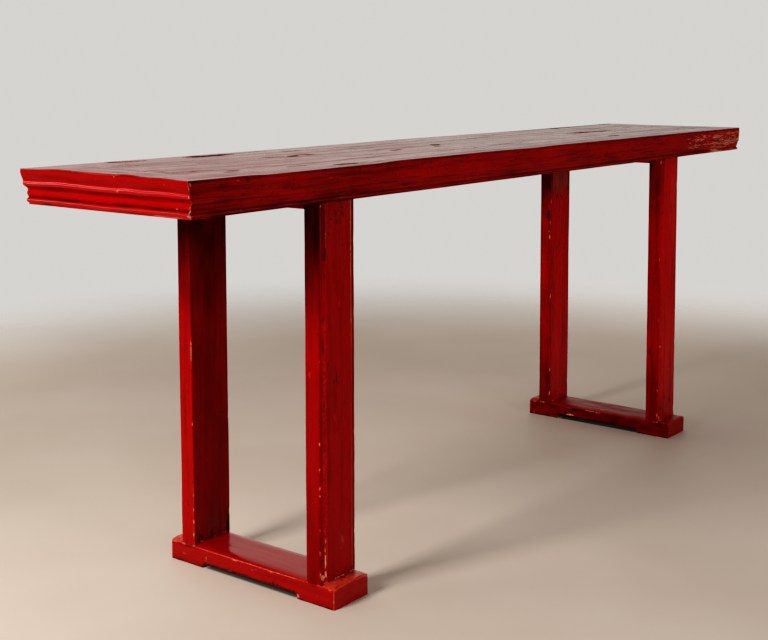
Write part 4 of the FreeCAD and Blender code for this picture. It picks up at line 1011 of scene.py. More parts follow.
    # scuffed top outside the legs
    wear = np.maximum(wear, (zone == 2)[None] * smooth(188, 198, A) * np.clip(0.56 + 0.14 * fbm(Y / 9, X / 14, 0, seed + 8, 3), 0, 0.66) * (1.0 if name == "left_foot" else 0.62))
    rng = np.random.default_rng(seed)
    for _ in range(40):
        yc, xc, zc, r, dp = rng.uniform(-half, half), rng.choice([-w, w, rng.uniform(-w, w)]), rng.uniform(4, 44), rng.uniform(1.5, 4.5), rng.uniform(.1, .5)
        m = np.exp(-((Y - yc) / (r * 1.6)) ** 2 - ((X - xc) / r) ** 2 - ((Z - zc) / r) ** 2)
        push = push + dp * m
        if rng.random() < .5:
            wear = np.maximum(wear, (.42 if name == "left_foot" else .34) * m)
    P = np.stack([cx + X, Y, Z], -1)
    N = loft_normals(P)
    if N[len(ys) // 2, int(np.argmax(zone == 2)) + n_top // 2, 2] < 0:
        N = -N
    free = smooth(0.2, 4, Z) * (zone != 0)[None]
    h = fine_relief(P, seed + 9, 1)
    P = P + slow_field(P) * 1.0 + N * ((h - push) * free)[..., None]
    P[..., 2] = np.maximum(P[..., 2], 0.0)
    if name == "right_foot":      # the far foot: painted shade on its sides and ends, a duller top, and mop dirt
        shade = (zone == 3)[None] * 0.92 + (zone == 2)[None] * 0.10 + (zone == 1)[None] * 0.3 + 0 * Y
        dull = (zone == 2)[None] * 0.70 + (zone == 3)[None] * 0.35 + (zone == 1)[None] * 0.2 + 0 * Y
        grub = smooth(0.15, 0.95, fbm(Y / 34, Z / 16, X / 34, seed + 14, 2) + 0.2 * (zone == 3)[None] + 0.5 * low)
        dirt = np.maximum(dirt, 0.42 * grub * (zone != 0)[None] * (1 - 0.5 * (zone == 2)[None]))
        wear = wear * (1 - 0.35 * (zone == 2)[None])
    else:
        # the near foot: a little painted shade on its sides, heavier close to the floor
        shade = 0.10 * (zone == 1)[None] + (zone == 3)[None] * (0.12 + 0.30 * smooth(18, 4, Z)) + 0 * Y
        dull = 0 * Y
    shade = shade * (0.8 + 0.3 * fbm(Y / 50, X / 40, Z / 20, seed + 15, 2))
    dull = dull * (0.85 + 0.25 * fbm(Y / 40, X / 20, Z / 20, seed + 20, 2))
    attrs = {"wear": np.clip(wear, 0, 1.2), "dirt": np.clip(dirt, 0, 1.2), "mark": np.clip(dark, 0, 1), "shade": np.clip(shade, 0, 1), "dull": np.clip(dull, 0, 1)}
    fills = (0.985, 0.95, 0.88, 0.78, 0.66, 0.53, 0.40, 0.27, 0.15, 0.06)
    P, attrs, n = close_ends(P, attrs, fills)
    # the end faces: uneven lacquer, worn only near their borders, and evenly in painted shade
    for rows in (range(n), range(len(P) - n, len(P))):
        for k in rows:
            f = fills[n - 1 - k] if k < n else fills[k - (len(P) - n)]
            e = smooth(0.86, 1.0, f)
            px, pz = P[k, :, 0], P[k, :, 2]
            attrs["wear"][k] = attrs["wear"][k] * e + 0.16 * np.clip(fbm(px / 16, 0, pz / 9, seed + 12, 3), 0, 1)
            attrs["dirt"][k] *= e
            attrs["mark"][k] *= e
            attrs["shade"][k] = 0.36 if name == "right_foot" else 0.18
            attrs["dull"][k] = 0.5 if name == "right_foot" else 0.15
            P[k, :, 1] += 0.35 * fbm(px / 22, 0, pz / 14, seed + 13, 2) * (1 - e)
    fm = np.zeros((P.shape[0] - 1, nr), int)
    fm[n:len(P) - n - 1, zone == 0] = 1
    return P, attrs, fm


# ---------------------------------------------------------------- bearers and battens
def bearer(cx, seed):
    w = LEG_W / 2
    ys = set(np.round(both_ends(154.9, 140.0, 0.4, 3.4 * COARSE), 3)) | {140.8, 141.0, -140.8, -141.0}
    ys = np.array(sorted(ys)); ys = ys[np.concatenate([[True], np.diff(ys) > 0.09])]
    poly = [(-w, 0.0), (w, 0.0), (w, 1.0), (-w, 1.0)]
    lo, hi = 767.0, np.where(np.abs(ys) < 140.9, 825.9, 783.8)
    base = rounded([(-w, 0), (w, 0), (w, 59), (-w, 59)], [1.6, 1.6, 0.6, 0.6], 3.6 * COARSE)
    S = np.repeat(ys[:, None], len(base), 1)
    U = np.repeat(base[None, :, 0], len(ys), 0)
    Z = lo + base[None, :, 1] / 59.0 * (hi - lo)[:, None]
    low = base[None, :, 1] < 6
    Z = np.where(low, lo + base[None, :, 1], Z)
    P = np.stack([cx + U, S, Z], -1)
    N = loft_normals(P)
    if N[len(ys) // 2, int(np.argmin(base[:, 1]))] @ np.array([0, 0, -1]) < 0:
        N = -N
    e = np.hypot(w - np.abs(U), Z - lo)
    nz = 0.5 + 0.5 * fbm(S / 30, Z / 9, U / 20, seed, 3)
    wear = 0.5 * np.exp(-(e / 2.2) ** 2) * (0.5 + 0.8 * nz)
    dirt = 0.6 * smooth(148, 155, np.abs(S)) + 0.7 * smooth(6, 0, np.abs(Z - 784.0)) * (np.abs(S) > 138)
    h = fine_relief(P, seed + 3, 1)
    P = P + slow_field(P) + N * (h * (Z < 822))[..., None]
    attrs = {"wear": wear, "dirt": np.clip(dirt, 0, 1), "mark": 0 * wear}
    P, attrs, _ = close_ends(P, attrs, (0.9, 0.5))
    return P, attrs


def batten(cx, seed):
    w = 22.0
    ys = both_ends(140.8, 130.0, 0.6, 3.2 * COARSE)
    base = rounded([(-w, 790.0), (w, 790.0), (w, 825.9), (-w, 825.9)], [2.2, 2.2, 0.5, 0.5], 3.0 * COARSE)
    S = np.repeat(ys[:, None], len(base), 1)
    U, Z = (np.repeat(base[None, :, k], len(ys), 0) for k in (0, 1))
    P = np.stack([cx + U, S, Z], -1)
    N = loft_normals(P)
    if N[len(ys) // 2, int(np.argmin(base[:, 1]))] @ np.array([0, 0, -1]) < 0:
        N = -N
    h = fine_relief(P, seed, 1) * 1.6
    P = P + slow_field(P) + N * (h * (Z < 822))[..., None]
    wear = 0.5 * np.exp(-(np.hypot(w - np.abs(U), Z - 790) / 2.5) ** 2)
    attrs = {"wear": wear, "dirt": 0.4 * smooth(134, 141, np.abs(S)), "mark": 0 * wear}
    P, attrs, _ = close_ends(P, attrs, (0.9, 0.5))
    return P, attrs


def turned(cx, cy, z0, z1, r, seed):
    """A whittled peg: faceted, slightly domed where it shows below."""
    n = 14
    ang = np.arange(n) / n * 2 * math.pi
    facet = 1 - 0.05 * np.abs(np.sin(ang * 4 + seed))
    rows = []
    for z, f in ((z0, 0.25), (z0 + 0.05, 0.7), (z0 + 0.35, 0.93), (z0 + 1.2, 1.0), (z0 + 12, 1.0), (z1 - 8, 0.98), (z1 - 0.4, 0.9), (z1, 0.5)):
        rows.append(np.stack([cx + r * f * facet * np.cos(ang), cy + r * f * facet * np.sin(ang), np.full(n, z)], -1))
    return np.stack(rows)


# ---------------------------------------------------------------- materials
class Nodes:
    def __init__(self, name):
        self.m = bpy.data.materials.new(name)
        self.m.use_nodes = True
        self.t = self.m.node_tree
        self.t.nodes.clear()
        self.out = self.t.nodes.new("ShaderNodeOutputMaterial")

    def put(self, socket, value):
        if isinstance(value, bpy.types.NodeSocket):
            self.t.links.new(value, socket)
        elif value is not None:
            socket.default_value = value

    def node(self, kind, **values):
        n = self.t.nodes.new(kind)
        for k, v in values.items():
            setattr(n, k, v)
        return n

    def attr(self, name):
        return self.node("ShaderNodeAttribute", attribute_name=name, attribute_type="GEOMETRY").outputs["Fac"]

    def coords(self):
        return self.node("ShaderNodeTexCoord").outputs["Object"]

    def scaled(self, vec, scale, offset=(0, 0, 0), turn=(0, 0, 0)):
        n = self.node("ShaderNodeMapping")
        self.put(n.inputs["Vector"], vec)
        n.inputs["Scale"].default_value = scale
        n.inputs["Location"].default_value = offset
        n.inputs["Rotation"].default_value = turn
        return n.outputs[0]

    def noise(self, vec, scale=1.0, detail=3.0, rough=0.5, distortion=0.0, colour=False):
        n = self.node("ShaderNodeTexNoise")
        self.put(n.inputs["Vector"], vec)
        n.inputs["Scale"].default_value = scale
        n.inputs["Detail"].default_value = detail
        n.inputs["Roughness"].default_value = rough
        n.inputs["Distortion"].default_value = distortion
        return n.outputs["Color" if colour else "Fac"]

    def cells(self, vec, scale, feature="F1"):
        n = self.node("ShaderNodeTexVoronoi", feature=feature)
        self.put(n.inputs["Vector"], vec)
        n.inputs["Scale"].default_value = scale
        return n.outputs["Distance"]

    def math(self, op, a, b=None, c=None, clamp=False):
        n = self.node("ShaderNodeMath", operation=op, use_clamp=clamp)
        for i, v in enumerate((a, b, c)):
            self.put(n.inputs[i], v)
        return n.outputs[0]

    def ramp(self, v, lo, hi, a=0.0, b=1.0, smoothly=True):
        n = self.node("ShaderNodeMapRange", interpolation_type="SMOOTHSTEP" if smoothly else "LINEAR", clamp=True)
        self.put(n.inputs["Value"], v)
        n.inputs["From Min"].default_value, n.inputs["From Max"].default_value = lo, hi
        n.inputs["To Min"].default_value, n.inputs["To Max"].default_value = a, b
        return n.outputs["Result"]

    def mix(self, fac, a, b):
        n = self.node("ShaderNodeMix", data_type="RGBA")
        self.put(n.inputs[0], fac)
        for sock, v in ((n.inputs[6], a), (n.inputs[7], b)):
            self.put(sock, v if isinstance(v, bpy.types.NodeSocket) else (*v, 1.0) if v is not None else None)
        return n.outputs[2]

    def add_vec(self, a, b):
        n = self.node("ShaderNodeVectorMath", operation="ADD")
        self.put(n.inputs[0], a); self.put(n.inputs[1], b)
        return n.outputs[0]

    def scale_vec(self, a, s):
        n = self.node("ShaderNodeVectorMath", operation="SCALE")
        self.put(n.inputs[0], a)
        n.inputs["Scale"].default_value = s
        return n.outputs[0]

    def sum(self, *pairs):
        """Sum of (value, weight)."""
        total = None
        for v, w in pairs:
            k = self.math("MULTIPLY", v, w)
            total = k if total is None else self.math("ADD", total, k)
        return total


def grain_scale(axis, along, across):
    s = [across, across, across]
    s[axis] = along
    return tuple(s)


def lacquer(name, axis, red=(0.235, 0.0007, 0.0005), deep=(0.070, 0.0004, 0.0003), streaks=0.5, cloud_amt=0.5, specks=0.5,
            wear_bias=0.0, rough=0.2, rough_var=0.12, ior=1.3, spec=0.5, pale=(0.47, 0.20, 0.12), bump=0.35, scratches=0.0, pores=0.0, seed=0.0,
            lines=0.2, speck_at=0.68, thin_amt=0.55, pore_colour=(0.050, 0.008, 0.006), stretch=1.0, rubbed=(0.52, 0.030, 0.014)):
    """Old red lacquer over timber. axis is the way the grain runs."""
    n = Nodes(name)
    co = n.coords()
    off = (seed * 1.7, seed * 0.9, -seed * 1.3)
    warp = n.noise(n.scaled(co, (3.1, 3.1, 3.1), off), 1.0, 2.0, 0.5, 0.0, True)
    wco = n.add_vec(co, n.scale_vec(warp, 0.012))
    long_ = n.noise(n.scaled(wco, grain_scale(axis, 3.2 * stretch, 95), off), 1.0, 5.0, 0.62, 0.25)
    fine = n.noise(n.scaled(wco, grain_scale(axis, 16, 520), off), 1.0, 3.0, 0.6)
    cloud = n.noise(n.scaled(co, (6.5, 6.5, 6.5), off), 1.0, 4.0, 0.55)
    blot = n.noise(n.scaled(co, grain_scale(axis, 22, 48), off), 1.0, 4.0, 0.6)
    dust = n.noise(n.scaled(co, (210, 210, 210), off), 1.0, 4.0, 0.65)
    speck = n.noise(n.scaled(co, grain_scale(axis, 120, 170), off), 1.0, 2.0, 0.5)
    wear_light_a, dirt_shade_a, mark_a, painted_shade_a, dull_a, brown_a = (n.attr(k) for k in ("wear", "dirt", "mark", "shade", "dull", "brown"))
    # colour of the lacquer itself
    mid = tuple(0.62 * r + 0.38 * d for r, d in zip(red, deep))
    bright = tuple(min(1.0, r * 1.22 + 0.0004) for r in red)
    c = n.mix(n.ramp(cloud, 0.36, 0.66, 0.0, cloud_amt), red, bright)
    c = n.mix(n.ramp(blot, 0.52, 0.74, 0.0, cloud_amt * 0.9), c, mid)
    c = n.mix(n.ramp(long_, 0.50, 0.70, 0.0, streaks), c, deep)
    c = n.mix(n.ramp(fine, 0.56, 0.74, 0.0, streaks * 0.55), c, deep)
    line = n.noise(n.scaled(wco, grain_scale(axis, 8.0 * stretch * stretch, 150), (off[2], off[0], off[1])), 1.0, 4.0 if stretch == 1.0 else 3.0, 0.58, 0.3 * stretch)
    c = n.mix(n.ramp(line, 0.53, 0.65, 0.0, lines), c, deep)
    c = n.mix(n.ramp(speck, speck_at, speck_at + 0.06, 0.0, specks), c, (0.035, 0.001, 0.001))
    band = None
    if stretch < 1.0:       # wide streaks of the boards' figure, telegraphed through the thin lacquer
        band = n.noise(n.scaled(wco, grain_scale(axis, 0.9, 34), (off[1], off[2], off[0])), 1.0, 4.0, 0.62, 0.5)
        c = n.mix(n.ramp(band, 0.46, 0.66, 0.0, 0.50), c, deep)
    if pores:
        pore = n.math("MULTIPLY", n.ramp(n.noise(n.scaled(wco, grain_scale(axis, 9 * stretch, 260), (off[1], off[0], off[2])), 1.0, 4.0 if stretch == 1.0 else 3.0, 0.6), 0.56, 0.68), n.ramp(blot, 0.40, 0.62))
        c = n.mix(n.math("MULTIPLY", pore, pores), c, pore_colour)
    # painted shade: the lacquer is darkened towards near-black by the painted shade mask
    c = n.mix(n.math("MULTIPLY", painted_shade_a, n.ramp(cloud, 0.2, 0.8, 1.0, 0.78)), c, (0.018, 0.0004, 0.0003))
    # lacquer rubbed away over a smoked ground
    c = n.mix(n.math("MULTIPLY", brown_a, n.ramp(fine, 0.35, 0.65, 0.95, 0.65)), c, (0.120, 0.042, 0.028))
    # dirt in the hollows, and painted shade where the same mask darkens the leg tops under the rail, the near corner of
    # the front rail and the foot soles
    d_mask = n.ramp(n.sum((dirt_shade_a, 1.0), (n.math("SUBTRACT", dust, 0.5), 0.55), (n.math("SUBTRACT", blot, 0.5), 0.5)), 0.30, 0.85)
    c = n.mix(n.math("MULTIPLY", d_mask, 0.88), c, (0.028, 0.0016, 0.0012))
    m_mask = n.ramp(n.sum((mark_a, 1.0), (n.math("SUBTRACT", dust, 0.5), 0.7), (n.math("SUBTRACT", fine, 0.5), 0.6)), 0.30, 0.72)
    old_wood = n.mix(n.ramp(n.sum((fine, 0.6), (long_, 0.4)), 0.44, 0.60), (0.013, 0.0024, 0.0018), (0.072, 0.019, 0.012))
    c = n.mix(n.math("MULTIPLY", m_mask, 0.93), c, old_wood)
    # worn edges: first thin orange-red, then a dark rim, then the pale ground under the lacquer; on a leg bevel and a
    # foot edge the same mask also serves as painted light
    w_val = n.sum((wear_light_a, 1.0), (n.math("SUBTRACT", dust, 0.5), 1.15), (n.math("SUBTRACT", long_, 0.5), 0.45), (n.math("SUBTRACT", blot, 0.5), 0.45))
    thin = n.ramp(w_val, 0.22 - wear_bias, 0.62 - wear_bias)
    rim = n.ramp(w_val, 0.56 - wear_bias, 0.66 - wear_bias)
    bare = n.ramp(w_val, 0.66 - wear_bias, 0.80 - wear_bias)
    c = n.mix(n.math("MULTIPLY", thin, thin_amt), c, rubbed)
    c = n.mix(n.math("MULTIPLY", rim, 0.55), c, (0.10, 0.006, 0.004))
    c = n.mix(bare, c, n.mix(n.ramp(blot, 0.4, 0.6), pale, tuple(v * 0.62 for v in pale)))
    b = n.node("ShaderNodeBsdfPrincipled")
    n.put(b.inputs["Base Color"], c)
    base_r = n.sum((n.math("SUBTRACT", cloud, 0.5), rough_var * 1.2), (n.ramp(long_, 0.42, 0.72), rough_var * 0.9), (n.ramp(blot, 0.45, 0.7), rough_var * 0.6),
                   (thin, 0.10), (bare, 0.32), (d_mask, 0.34), (m_mask, 0.70), (dull_a, 0.42), (brown_a, 0.3))
    if band is not None:
        base_r = n.math("ADD", base_r, n.ramp(band, 0.44, 0.66, -0.25 * rough_var, 0.8 * rough_var, False))
    extra = n.math("ADD", base_r, rough)
    height = n.sum((long_, 0.55), (fine, 0.22), (dust, 0.10), (bare, -0.5), (d_mask, -0.25), (m_mask, -0.5), (blot, 0.35))
    if scratches:
        for k, turn in enumerate((0.35, -0.55, 1.15)):
            s = n.noise(n.scaled(co, (5, 420, 60), (off[0] + k, off[1] - k, off[2]), (0, 0, turn)), 1.0, 2.0, 0.5)
            m = n.ramp(s, 0.70, 0.73)
            extra = n.math("ADD", extra, n.math("MULTIPLY", m, 0.18 * scratches))
            height = n.math("SUBTRACT", height, n.math("MULTIPLY", m, 0.35 * scratches))
    n.put(b.inputs["Roughness"], n.math("MINIMUM", n.math("MAXIMUM", extra, 0.06), 0.95))
    b.inputs["IOR"].default_value = ior
    # grime and gouges have no polish left, and the painted shade loses its polish too
    matt = n.sum((d_mask, spec * 0.5), (painted_shade_a, spec * 0.7), (dull_a, spec * 0.9))
    n.put(b.inputs["Specular IOR Level"], n.math("MAXIMUM", n.math("SUBTRACT", n.ramp(m_mask, 0.0, 1.0, spec, spec * 0.12, False), matt), 0.03))
    b.inputs["Specular Tint"].default_value = (1.0, 0.10, 0.08, 1.0)
    bm = n.node("ShaderNodeBump")
    bm.inputs["Strength"].default_value = bump
    bm.inputs["Distance"].default_value = 0.0006
    n.put(bm.inputs["Height"], height)
    n.t.links.new(bm.outputs[0], b.inputs["Normal"])
    n.t.links.new(b.outputs[0], n.out.inputs["Surface"])
    return n.m


def timber(name, axis, light=(0.30, 0.155, 0.075), dark=(0.12, 0.055, 0.026), red=0.0, seed=0.0, rough=0.62):
    """Bare old wood, with the red of the lacquer where the brush ran over."""
    n = Nodes(name)
    co = n.coords()
    off = (seed, -seed * 2.1, seed * 0.7)
    warp = n.noise(n.scaled(co, (4, 4, 4), off), 1.0, 2.0, 0.5, 0.0, True)
    wco = n.add_vec(co, n.scale_vec(warp, 0.02))
    rings = n.noise(n.scaled(wco, grain_scale(axis, 2.6, 70), off), 1.0, 5.0, 0.6, 0.4)
    fibre = n.noise(n.scaled(wco, grain_scale(axis, 24, 620), off), 1.0, 4.0, 0.65)
    patch = n.noise(n.scaled(co, (9, 9, 9), off), 1.0, 4.0, 0.6)
    dust = n.noise(n.scaled(co, (150, 150, 150), off), 1.0, 3.0, 0.6)
    dirt_shade_a = n.attr("dirt")
    c = n.mix(n.ramp(rings, 0.38, 0.66), light, dark)
    c = n.mix(n.ramp(fibre, 0.5, 0.72, 0.0, 0.6), c, tuple(v * 0.45 for v in dark))
    c = n.mix(n.ramp(patch, 0.5, 0.75, 0.0, 0.45), c, tuple(v * 0.6 for v in dark))
    if red:
        c = n.mix(n.ramp(n.sum((patch, 1.0), (dust, 0.35)), 0.80 - 0.4 * red, 0.98 - 0.3 * red, 0.0, 0.9), c, (0.20, 0.004, 0.003))
    # dirt, and painted shade on the foot soles
    c = n.mix(n.ramp(dirt_shade_a, 0.2, 1.0, 0.0, 0.7), c, (0.03, 0.015, 0.01))
    b = n.node("ShaderNodeBsdfPrincipled")
    n.put(b.inputs["Base Color"], c)
    n.put(b.inputs["Roughness"], n.sum((n.math("ADD", n.math("MULTIPLY", fibre, 0.25), rough - 0.12), 1.0)))
    bm = n.node("ShaderNodeBump")
    bm.inputs["Strength"].default_value = 0.5
    bm.inputs["Distance"].default_value = 0.0008
    n.put(bm.inputs["Height"], n.sum((rings, 0.5), (fibre, 0.5), (dust, 0.15)))
    n.t.links.new(bm.outputs[0], b.inputs["Normal"])
    n.t.links.new(b.outputs[0], n.out.inputs["Surface"])
    return n.m


X_, Y_, Z_ = 0, 1, 2
mat_front = lacquer("lacquer_rail_along", X_, deep=(0.050, 0.0004, 0.0003), streaks=0.56, lines=0.46, cloud_amt=0.85, specks=0.75, speck_at=0.66, rough=0.30, rough_var=0.12,
                    ior=1.22, pale=(0.45, 0.19, 0.12), seed=1.0)
mat_end = lacquer("lacquer_rail_end", Y_, streaks=0.34, lines=0.12, cloud_amt=0.35, specks=0.4, speck_at=0.70, rough=0.14, rough_var=0.08, ior=1.36, bump=0.22, seed=2.0)
mat_top = lacquer("lacquer_top_surface", X_, red=(0.210, 0.0036, 0.0026), deep=(0.050, 0.0080, 0.0056), stretch=0.5, streaks=0.60, lines=0.62, cloud_amt=0.6, specks=0.6, rough=0.22, rough_var=0.11,
                  ior=1.53, bump=0.20, scratches=0.8, pores=0.8, seed=3.0)
mat_top_end = lacquer("lacquer_top_end", Y_, red=(0.210, 0.0036, 0.0026), deep=(0.050, 0.0080, 0.0056), stretch=0.6, streaks=0.5, lines=0.5, cloud_amt=0.6, specks=0.6, rough=0.22, rough_var=0.11,
                      ior=1.53, bump=0.20, scratches=0.8, pores=0.7, seed=4.0)
mat_leg = lacquer("lacquer_leg", Z_, streaks=0.42, lines=0.28, cloud_amt=0.42, specks=0.65, speck_at=0.67, rough=0.28, rough_var=0.12, ior=1.24, seed=5.0)
# painted light: the far legs get a brighter copy of the leg lacquer, standing for the light they get
mat_leg_far_painted_brighter = lacquer("lacquer_leg_far", Z_, red=(0.365, 0.0012, 0.0009), deep=(0.085, 0.0006, 0.0005), streaks=0.5, lines=0.42, cloud_amt=0.45, specks=0.7, speck_at=0.665, rough=0.26,
                      rough_var=0.12, ior=1.26, seed=5.5)
mat_foot = lacquer("lacquer_foot", Y_, streaks=0.36, lines=0.14, cloud_amt=0.45, specks=0.55, rough=0.15, rough_var=0.10, ior=1.50, bump=0.28, thin_amt=0.84, rubbed=(0.48, 0.052, 0.024), seed=6.0)
mat_bearer = lacquer("lacquer_bearer", Y_, streaks=0.5, lines=0.3, cloud_amt=0.5, specks=0.6, rough=0.34, rough_var=0.14, ior=1.24, seed=7.0)
mat_inner = timber("inner_face_timber_along", X_, red=0.8, seed=8.0)
mat_inner_end = timber("inner_face_timber_across", Y_, red=0.8, seed=9.0)
mat_under = timber("board_underside", X_, light=(0.26, 0.13, 0.065), dark=(0.10, 0.045, 0.022), red=0.45, seed=10.0)
mat_batten = timber("batten_timber", Y_, light=(0.34, 0.19, 0.095), dark=(0.15, 0.075, 0.035), red=0.25, seed=11.0)
mat_endgrain = timber("tenon_endgrain", Z_, light=(0.28, 0.15, 0.08), dark=(0.10, 0.05, 0.025), red=0.3, seed=12.0)
mat_sole = timber("foot_sole", Y_, light=(0.20, 0.10, 0.06), dark=(0.07, 0.035, 0.02), red=0.5, seed=13.0)
mat_peg = timber("peg_timber", Z_, light=(0.42, 0.25, 0.13), dark=(0.20, 0.10, 0.05), seed=14.0)

# ---------------------------------------------------------------- the pieces
made = {}


def place(ob, slot, *nodes):
    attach(ob, "root")
    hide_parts(*nodes)
    made[ob.name] = ob


for node, side in (("front_rail", "front"), ("back_rail", "back"), ("left_end_rail", "left"), ("right_end_rail", "right")):
    P, attrs, fm = rail(node, side)
    along = side in ("front", "back")
    mats = [mat_front, mat_inner, mat_top] if along else [mat_end, mat_inner_end, mat_top_end]
    place(skin("vis_" + node, P, attrs, mats, fm), "lacquer_frame", node)
for node, y0, y1 in (("top_board_front", -IN_Y, -JOINT_Y), ("top_board_middle", -JOINT_Y, JOINT_Y), ("top_board_back", JOINT_Y, IN_Y)):
    P, attrs, fm = board(y0, y1)
    place(skin("vis_" + node, P, attrs, [mat_top, mat_under], fm), "lacquer_top", node)
for node in ("front_left_leg", "back_left_leg", "front_right_leg", "back_right_leg"):
    P, attrs, parts = leg(node)
    place(skin("vis_" + node, P, attrs, [mat_leg_far_painted_brighter if "right" in node else mat_leg, mat_endgrain], None, parts), "lacquer_legs", node)
for node in ("left_foot", "right_foot"):
    P, attrs, fm = foot(node)
    place(skin("vis_" + node, P, attrs, [mat_foot, mat_sole], fm), "lacquer_feet", node)
for node, cx, seed in (("left_bearer", -FRAME_X, 3001), ("right_bearer", FRAME_X, 3051)):
    P, attrs = bearer(cx, seed)
    place(skin("vis_" + node, P, attrs, [mat_bearer]), "lacquer_frame", node)
for node, cx, seed in (("left_batten", -362.5, 3101), ("centre_batten", 0.0, 3151), ("right_batten", 362.5, 3201)):
    P, attrs = batten(cx, seed)
    place(skin("vis_" + node, P, attrs, [mat_batten]), "raw_wood", node)


def several(name, lofts, mat):
    """One mesh of several closed lofts."""
    V, F, n = [], [], 0
    for P in lofts:
        ns, nr = P.shape[:2]
        idx = np.arange(ns * nr).reshape(ns, nr) + n
        V.append(P.reshape(-1, 3))
        F += [[int(idx[i, j]), int(idx[i, (j + 1) % nr]), int(idx[i + 1, (j + 1) % nr]), int(idx[i + 1, j])] for i in range(ns - 1) for j in range(nr)]
        F += [[int(k) for k in idx[0][::-1]], [int(k) for k in idx[-1]]]
        n += ns * nr
    me = bpy.data.meshes.new(name)
    me.from_pydata((np.concatenate(V) * 0.001).tolist(), [], F)
    for a in ("dirt", "wear", "mark"):
        me.attributes.new(a, "FLOAT", "POINT")
    me.polygons.foreach_set("use_smooth", np.ones(len(me.polygons), bool))
    me.set_sharp_from_angle(angle=math.radians(30))
    me.materials.append(mat)
    ob = bpy.data.objects.new(name, me)
    scene.collection.objects.link(ob)
    return ob


pegs = [turned(sx * (HX - 36), sy * (HY - 48), H - RIM - 0.7, H - RIM + 41, 3.95, k) for k, (sx, sy) in enumerate(((-1, -1), (-1, 1), (1, -1), (1, 1)))]
place(several("vis_corner_pegs", pegs, mat_peg), "raw_wood", "corner_pegs")
wedges = []
for sx in (-1, 1):
    for sy in (-1, 1):
        for wx in (-20, 20):
            x, y0 = sx * FRAME_X + wx, sy * (LEG_OUT - LEG_T / 2)
            rows = []
            for z, hw, k in ((1.9, 0.9, 0.7), (2.0, 1.5, 0.97), (2.3, 1.62, 1.0), (12, 1.2, 1.0), (29, 0.45, 1.0), (29.6, 0.25, 0.9)):
                hy = 7.7 * k
                rows.append(np.array([(x - hw, y0 - hy + .3, z), (x - hw + .2, y0 - hy, z), (x + hw - .2, y0 - hy, z), (x + hw, y0 - hy + .3, z),
                                      (x + hw, y0 + hy - .3, z), (x + hw - .2, y0 + hy, z), (x - hw + .2, y0 + hy, z), (x - hw, y0 + hy - .3, z)]))
            wedges.append(np.stack(rows))
place(several("vis_foot_tenon_wedges", wedges, mat_peg), "raw_wood", "foot_tenon_wedges")
for k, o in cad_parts.items():       # the hidden solids carry a finish too
    o.data.materials.clear()
    o.data.materials.append(mat_batten if ("batten" in k or k in ("corner_pegs", "foot_tenon_wedges")) else mat_leg if k.endswith("leg") else mat_foot if k.endswith("foot") else mat_front)

# ---------------------------------------------------------------- floor
rings = [0.0, 0.6, 1.2, 2.0, 3.0, 4.5, 7.0, 11.0, 18.0, 30.0]
seg = 96
fv = [(0, 0, 0)] + [(r * math.cos(2 * math.pi * k / seg), r * math.sin(2 * math.pi * k / seg), 0) for r in rings[1:] for k in range(seg)]
ff = [(0, 1 + k, 1 + (k + 1) % seg) for k in range(seg)]
for i in range(len(rings) - 2):
    a, b = 1 + i * seg, 1 + (i + 1) * seg
    ff += [(a + k, b + k, b + (k + 1) % seg, a + (k + 1) % seg) for k in range(seg)]
fme = bpy.data.meshes.new("studio_floor")
fme.from_pydata(fv, [], ff)
floor = bpy.data.objects.new("studio_floor", fme)
scene.collection.objects.link(floor)
BACK = (0.63, 0.615, 0.595)
n = Nodes("pale_floor")
co = n.coords()
tone = n.noise(n.scaled(co, (1.3, 1.3, 1.3)), 1.0, 4.0, 0.5)
col = n.mix(n.ramp(tone, 0.35, 0.65), (0.49, 0.395, 0.32), (0.53, 0.435, 0.36))
xyz = n.node("ShaderNodeSeparateXYZ")
n.put(xyz.inputs[0], co)
# painted shadow: the floor is darkened in the footprint of each foot
across = n.math("ABSOLUTE", n.math("SUBTRACT", n.math("ABSOLUTE", xyz.outputs[0]), FRAME_X / 1000.0))
under = n.math("MULTIPLY", n.ramp(across, 0.0455, 0.0525, 1.0, 0.0), n.ramp(n.math("ABSOLUTE", xyz.outputs[1]), 0.118, 0.134, 1.0, 0.0))
col = n.mix(n.math("MULTIPLY", under, 0.9), col, (0.045, 0.032, 0.026))       # painted shadow on the floor under the feet
fb = n.node("ShaderNodeBsdfPrincipled")
n.put(fb.inputs["Base Color"], col)
fb.inputs["Roughness"].default_value = 0.55
fb.inputs["Specular IOR Level"].default_value = 0.12
em = n.node("ShaderNodeBsdfTransparent")
sep = n.node("ShaderNodeVectorMath", operation="LENGTH")
n.put(sep.inputs[0], co)
far = n.ramp(sep.outputs["Value"], 1.7, 3.3)
mx = n.node("ShaderNodeMixShader")
n.put(mx.inputs[0], far)
n.t.links.new(fb.outputs[0], mx.inputs[1])
n.t.links.new(em.outputs[0], mx.inputs[2])
n.t.links.new(mx.outputs[0], n.out.inputs["Surface"])
fme.materials.append(n.m)

# ---------------------------------------------------------------- light
world = bpy.data.worlds.new("studio")
scene.world = world
world.use_nodes = True
wt = world.node_tree
wt.nodes.clear()


def wnode(kind, **kw):
    k = wt.nodes.new(kind)
    for a, v in kw.items():
        setattr(k, a, v)
    return k


